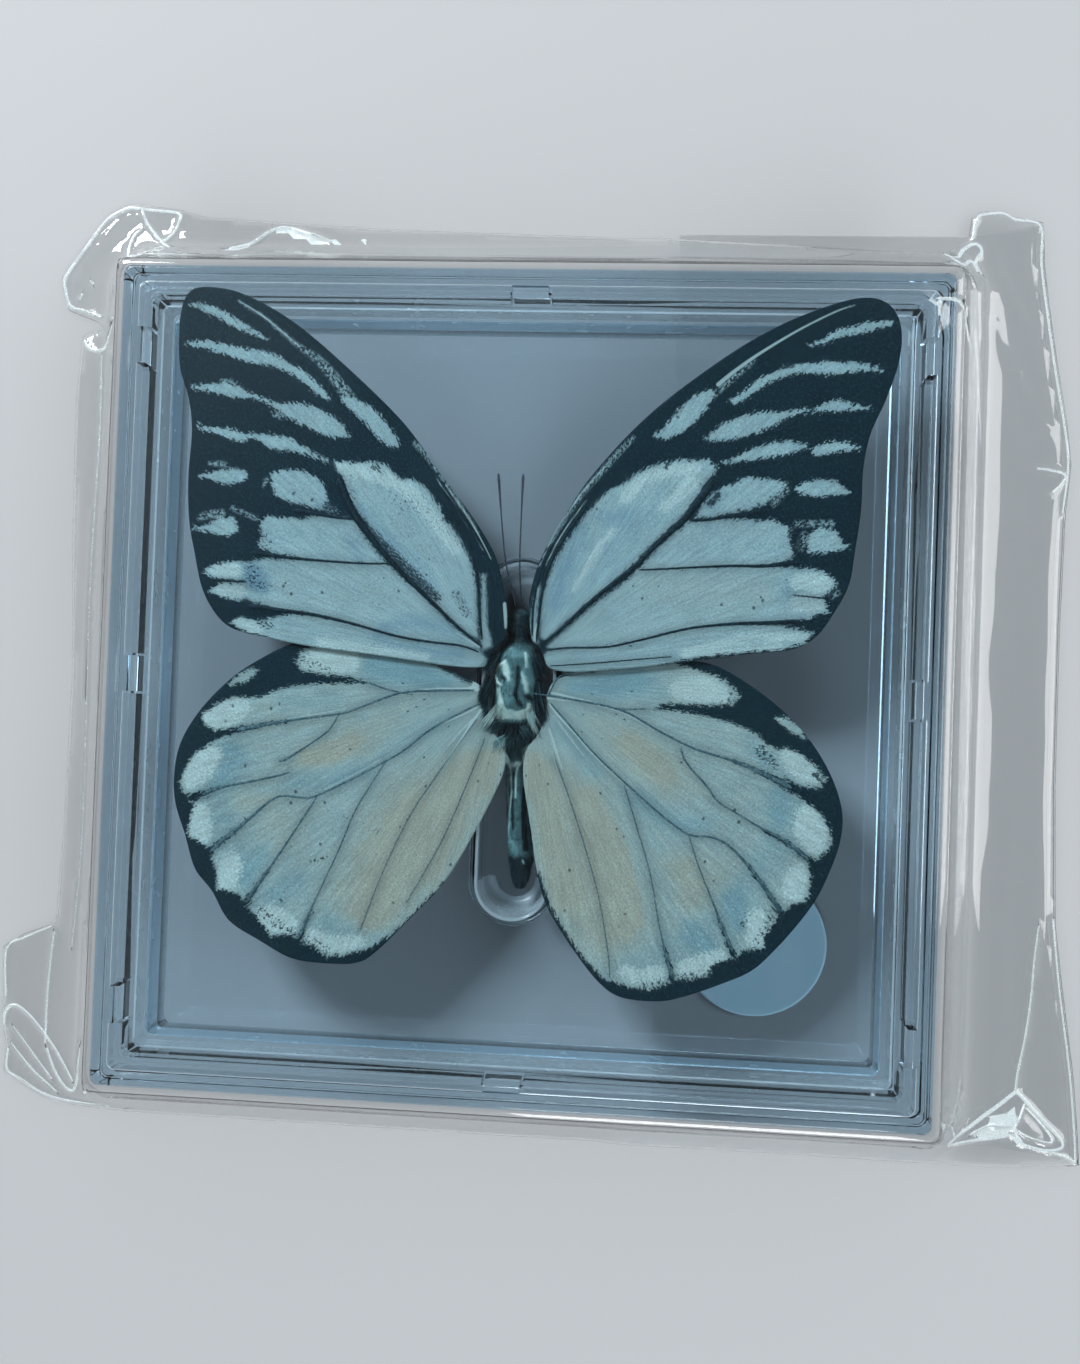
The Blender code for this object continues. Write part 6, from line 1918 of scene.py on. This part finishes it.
def front_sheet_height(spots, border):
    """Middle of the front sheet: flat on the window, sloping to the back sheet outside, folded."""
    x, y = spots.T
    out = np.hypot(np.maximum(np.abs(x) - CASE_HALF, 0.0), np.maximum(np.abs(y) - CASE_HALF, 0.0))
    inside = np.clip(polygon_inside(spots, border) / EDGE_FADE, 0.0, 1.0)
    rim = back_sheet_height(x) + FILM + FILM_GAP * (0.2 + 0.8 * inside)
    crown = CASE_TOP + FILM_GAP + FILM / 2
    share = np.interp(out, FILM_SLOPE_OUT, FILM_SLOPE_SHARE) * inside
    tent = np.clip(polygon_inside(spots, FILM_TENT) * FILM_TENT_SLOPE, 0.0, FILM_TENT_HEIGHT)
    swell = np.clip(strokes_depth(spots, FILM_SWELLS), 0.0, 1.0) * SWELL_SLOPE
    crease = np.clip(strokes_depth(spots, FILM_CREASES), 0.0, 1.0) * CREASE_SLOPE
    return rim + (crown - rim) * share + film_waves(x, y) * inside + tent + swell + crease


def thin_out(spots, taken, distance):
    """Drop the spots that come too close to the ones that are taken."""
    tree = KDTree(len(taken))
    for i, (x, y) in enumerate(taken):
        tree.insert((x, y, 0.0), i)
    tree.balance()
    return [spot for spot in spots if tree.find((spot[0], spot[1], 0.0))[2] > distance]


def square_grid(step, low, high):
    """Places of a square grid between two limits in x and y."""
    xs, ys = np.meshgrid(np.arange(low[0], high[0], step), np.arange(low[1], high[1], step))
    return np.stack([xs.ravel(), ys.ravel()], axis=1)


def crease_places(border):
    """Places along the middle and both feet of every crease, and the edges along the middles."""
    places = []
    edges = []
    for crease in FILM_CREASES:
        path = smooth_path(crease, CREASE_STEP)
        ahead = np.gradient(path[:, :2], axis=0)
        across = np.stack([-ahead[:, 1], ahead[:, 0]], axis=1) / np.linalg.norm(ahead, axis=1)[:, None]
        for side in (0.0, -1.0, 1.0):
            line = path[:, :2] + side * path[:, 2:3] * across
            inside = polygon_inside(line, border) > 0.1
            for i, spot in enumerate(line):
                if not inside[i]:
                    continue
                if side == 0.0 and i and inside[i - 1]:
                    edges.append((len(places) - 1, len(places)))
                places.append(tuple(spot))
    return places, edges


def film_front(border):
    """The front sheet: fine outside the case, coarse on its window, close along the creases."""
    places, edges = crease_places(border)
    rings = []
    for half in CASE_EDGE_RINGS:
        corners = ((half, -half), (half, half), (-half, half), (-half, -half), (half, -half))
        rings += straight_places(corners, FILM_STEP)
    places += thin_out(rings, places, FILM_STEP * 0.4)
    low, high = border.min(axis=0), border.max(axis=0)
    fine = square_grid(FILM_STEP, low, high)
    fine = fine[np.max(np.abs(fine), axis=1) > CASE_EDGE_RINGS[-1] + FILM_STEP / 2]
    coarse = square_grid(FILM_STEP_ON_CASE, ON_CASE_LOW, ON_CASE_HIGH)
    grid = np.concatenate((fine, coarse))
    grid = grid[polygon_inside(grid, border) > FILM_STEP / 2]
    places += thin_out(grid, places + [tuple(point) for point in border], FILM_STEP * 0.55)
    flat, faces = span_outline(border, places, edges)
    return np.column_stack((flat, front_sheet_height(flat, border))), faces


def film_back(border):
    """The back sheet, plain but for its rise over the flap."""
    low, high = border.min(axis=0), border.max(axis=0)
    grid = square_grid(FILM_STEP_BEHIND, low, high)
    start, end = BACK_SHEET_RISE_X
    rise = square_grid(FILM_STEP_BEHIND / 4, (start - 1.0, low[1]), (end + 1.0, high[1]))
    grid = np.concatenate((grid[(grid[:, 0] < rise[0, 0]) | (grid[:, 0] > rise[-1, 0])], rise))
    flat, faces = span_outline(border, grid[polygon_inside(grid, border) > 0.8], [])
    return np.column_stack((flat, back_sheet_height(flat[:, 0]))), faces


def add_flap(points, faces, right):
    """Fold the flap under from the bag's right side, a little narrower than the bag."""
    before = list(range(len(right)))
    for column in range(FLAP_COLUMNS):
        share = column / (FLAP_COLUMNS - 1)
        narrow = 1.0 - FLAP_INSET * min(share * 6.0, 1.0) / BAG_RIGHT_SIDE[-1][1]
        these = [len(points) + j for j in range(len(right))]
        points += [(x + (FLAP_EDGE_X - x) * share, y * narrow, FILM / 2) for x, y in right]
        for j in range(len(right) - 1):
            faces.append((before[j + 1], before[j], these[j], these[j + 1]))
        before = these


def whitened_and_glinting(front, faces):
    """Which faces of the front sheet are whitened, by folding and as painted glints along the folds."""
    middles = np.array([np.mean(front[list(face)], axis=0)[:2] for face in faces])
    white = strokes_depth(middles, FILM_CREASES) > 0.0
    return white | (areas_depth(middles, FILM_HAZY_AREAS) > 0.0)


def thicken_film(bag, full_count):
    """Give the film its thickness, less of it at the flap's free edge, whose points come last."""
    full = bag.vertex_groups.new(name="thickness")
    full.add(range(full_count), 1.0, "REPLACE")
    film = bag.modifiers.new("film", "SOLIDIFY")
    film.thickness = FILM * MM
    film.offset = 0.0
    film.vertex_group = "thickness"
    film.thickness_vertex_group = FLAP_EDGE_SHARE
    settle_shape(bag, CREASE_ANGLE)


def build_bag(clear, creased):
    """The clear bag: front and back sheets joined round three sides, and a flap behind."""
    right = straight_places(BAG_RIGHT_SIDE, BAG_EDGE_STEP) + [BAG_RIGHT_SIDE[-1]]
    rest = straight_places((BAG_RIGHT_SIDE[-1], *BAG_OTHER_SIDES, BAG_RIGHT_SIDE[0]), BAG_EDGE_STEP)[1:]
    border = np.array(right + rest)
    back_border = border.copy()
    back_border[:len(right), 0] -= BACK_SHEET_INSET
    front, faces = film_front(border)
    back, back_faces = film_back(back_border)
    count = len(front)
    front_count = len(faces)
    points = list(front) + list(back)
    faces = faces + [tuple(count + i for i in reversed(face)) for face in back_faces]
    for i in range(len(right) - 1, len(border)):
        j = (i + 1) % len(border)
        faces.append((j, i, count + i, count + j))
    add_flap(points, faces, right)
    bag = mesh_object("bag_skin", points, faces, clear)
    # The second material whitens the creases, for folding's whitening and for painted glints along the folds
    bag.data.materials.append(creased)
    slots = np.zeros(len(faces), dtype=np.int32)
    slots[:front_count] = whitened_and_glinting(front, faces[:front_count])
    bag.data.polygons.foreach_set("material_index", slots)
    thicken_film(bag, len(points) - len(right))
    finish_piece(bag, "bag")
    return bag


# The stage

def build_stage():
    """A plain pale floor under the object."""
    nodes = Nodes("stage_floor")
    nodes.set(Base_Color=(*srgb(168, 173, 177), 1.0), Roughness=0.8)
    signs = ((-1, -1), (1, -1), (1, 1), (-1, 1))
    corners = [(x * FLOOR_HALF, y * FLOOR_HALF, FLOOR_LEVEL) for x, y in signs]
    floor = mesh_object("floor", corners, [(0, 1, 2, 3)], nodes.material, smooth=False)


def add_light(name, place, size, power):
    """A soft square lamp that looks at the middle of the object."""
    data = bpy.data.lights.new(name, "AREA")
    data.shape = "SQUARE"
    data.size = size * MM
    data.energy = power
    lamp = place_object(name, data)
    lamp.location = Vector(place) * MM
    lamp.rotation_euler = (-lamp.location).to_track_quat("-Z", "Y").to_euler()


def build_lights():
    """Soft studio light from above the top left, with a fill and an even sky."""
    for lamp in LAMPS:
        add_light(*lamp)
    world = bpy.data.worlds.new("studio")
    world.use_nodes = True
    nodes = world.node_tree.nodes
    links = world.node_tree.links
    split = nodes.new("ShaderNodeSeparateXYZ")
    links.new(nodes.new("ShaderNodeTexCoord").outputs["Generated"], split.inputs[0])
    sky = nodes.new("ShaderNodeMapRange")
    for key, number in (("From Min", 0.25), ("From Max", 0.95), ("To Min", SKY_LOW), ("To Max", SKY_HIGH)):
        sky.inputs[key].default_value = number
    links.new(split.outputs["Z"], sky.inputs["Value"])
    links.new(sky.outputs["Result"], nodes["Background"].inputs["Strength"])
    nodes["Background"].inputs["Color"].default_value = SKY_COLOUR
    bpy.context.scene.world = world


def build_camera():
    """The camera over the case, as the photograph was taken."""
    data = bpy.data.cameras.new("camera")
    data.sensor_fit = "HORIZONTAL"
    data.sensor_width = 36.0
    data.lens = CAMERA_LENS
    data.clip_start = 0.005
    camera = place_object("camera", data)
    camera.location = Vector(CAMERA_PLACE) * MM
    camera.rotation_euler = [math.radians(angle) for angle in CAMERA_TURN]
    bpy.context.scene.camera = camera


def set_light_paths():
    """Enough bounces to see through all the clear layers."""
    bpy.context.scene.view_settings.view_transform = "Standard"
    cycles = bpy.context.scene.cycles
    cycles.max_bounces = CLEAR_BOUNCES
    cycles.transmission_bounces = CLEAR_BOUNCES
    cycles.transparent_max_bounces = 8
    cycles.glossy_bounces = 2
    cycles.diffuse_bounces = 1
    cycles.caustics_refractive = False
    cycles.caustics_reflective = False


def main():
    """Build the stage, the butterfly and the clear pieces round it."""
    build_stage()
    build_lights()
    build_camera()
    set_light_paths()
    plastic = clear_plastic()
    black_vein = vein_material("vein_black", srgb(6, 26, 34), srgb(34, 62, 72))
    grey_vein = vein_material("vein_grey", srgb(50, 82, 94), srgb(120, 150, 156))
    forewing_scales = wing_material(
        "forewing_scales", srgb(158, 192, 198), srgb(164, 190, 190), srgb(122, 162, 180),
        srgb(186, 216, 218), srgb(8, 33, 42), srgb(8, 35, 44), 0.9)
    hindwing_scales = wing_material(
        "hindwing_scales", srgb(158, 186, 186), srgb(170, 181, 168), srgb(130, 170, 180),
        srgb(190, 218, 218), srgb(8, 35, 44), srgb(50, 84, 98), 0.8)
    for wing in hindwings(hindwing_scales):
        build_wing(wing, grey_vein)
    for wing in forewings(forewing_scales):
        build_wing(wing, black_vein)
    build_body(body_material(), hair_material())
    horn = antenna_material()
    build_antenna("left_antenna_rod", LEFT_ANTENNA, "left_antenna", horn)
    build_antenna("right_antenna_rod", RIGHT_ANTENNA, "right_antenna", horn)
    build_seal(seal_material())
    clear_pieces = [build_case_back(plastic, plastic_painted_glint()), build_case_front(plastic)]
    clear_pieces.append(build_bag(bag_film(), film_crease_and_glint()))
    for piece in clear_pieces:
        piece.visible_shadow = False


main()
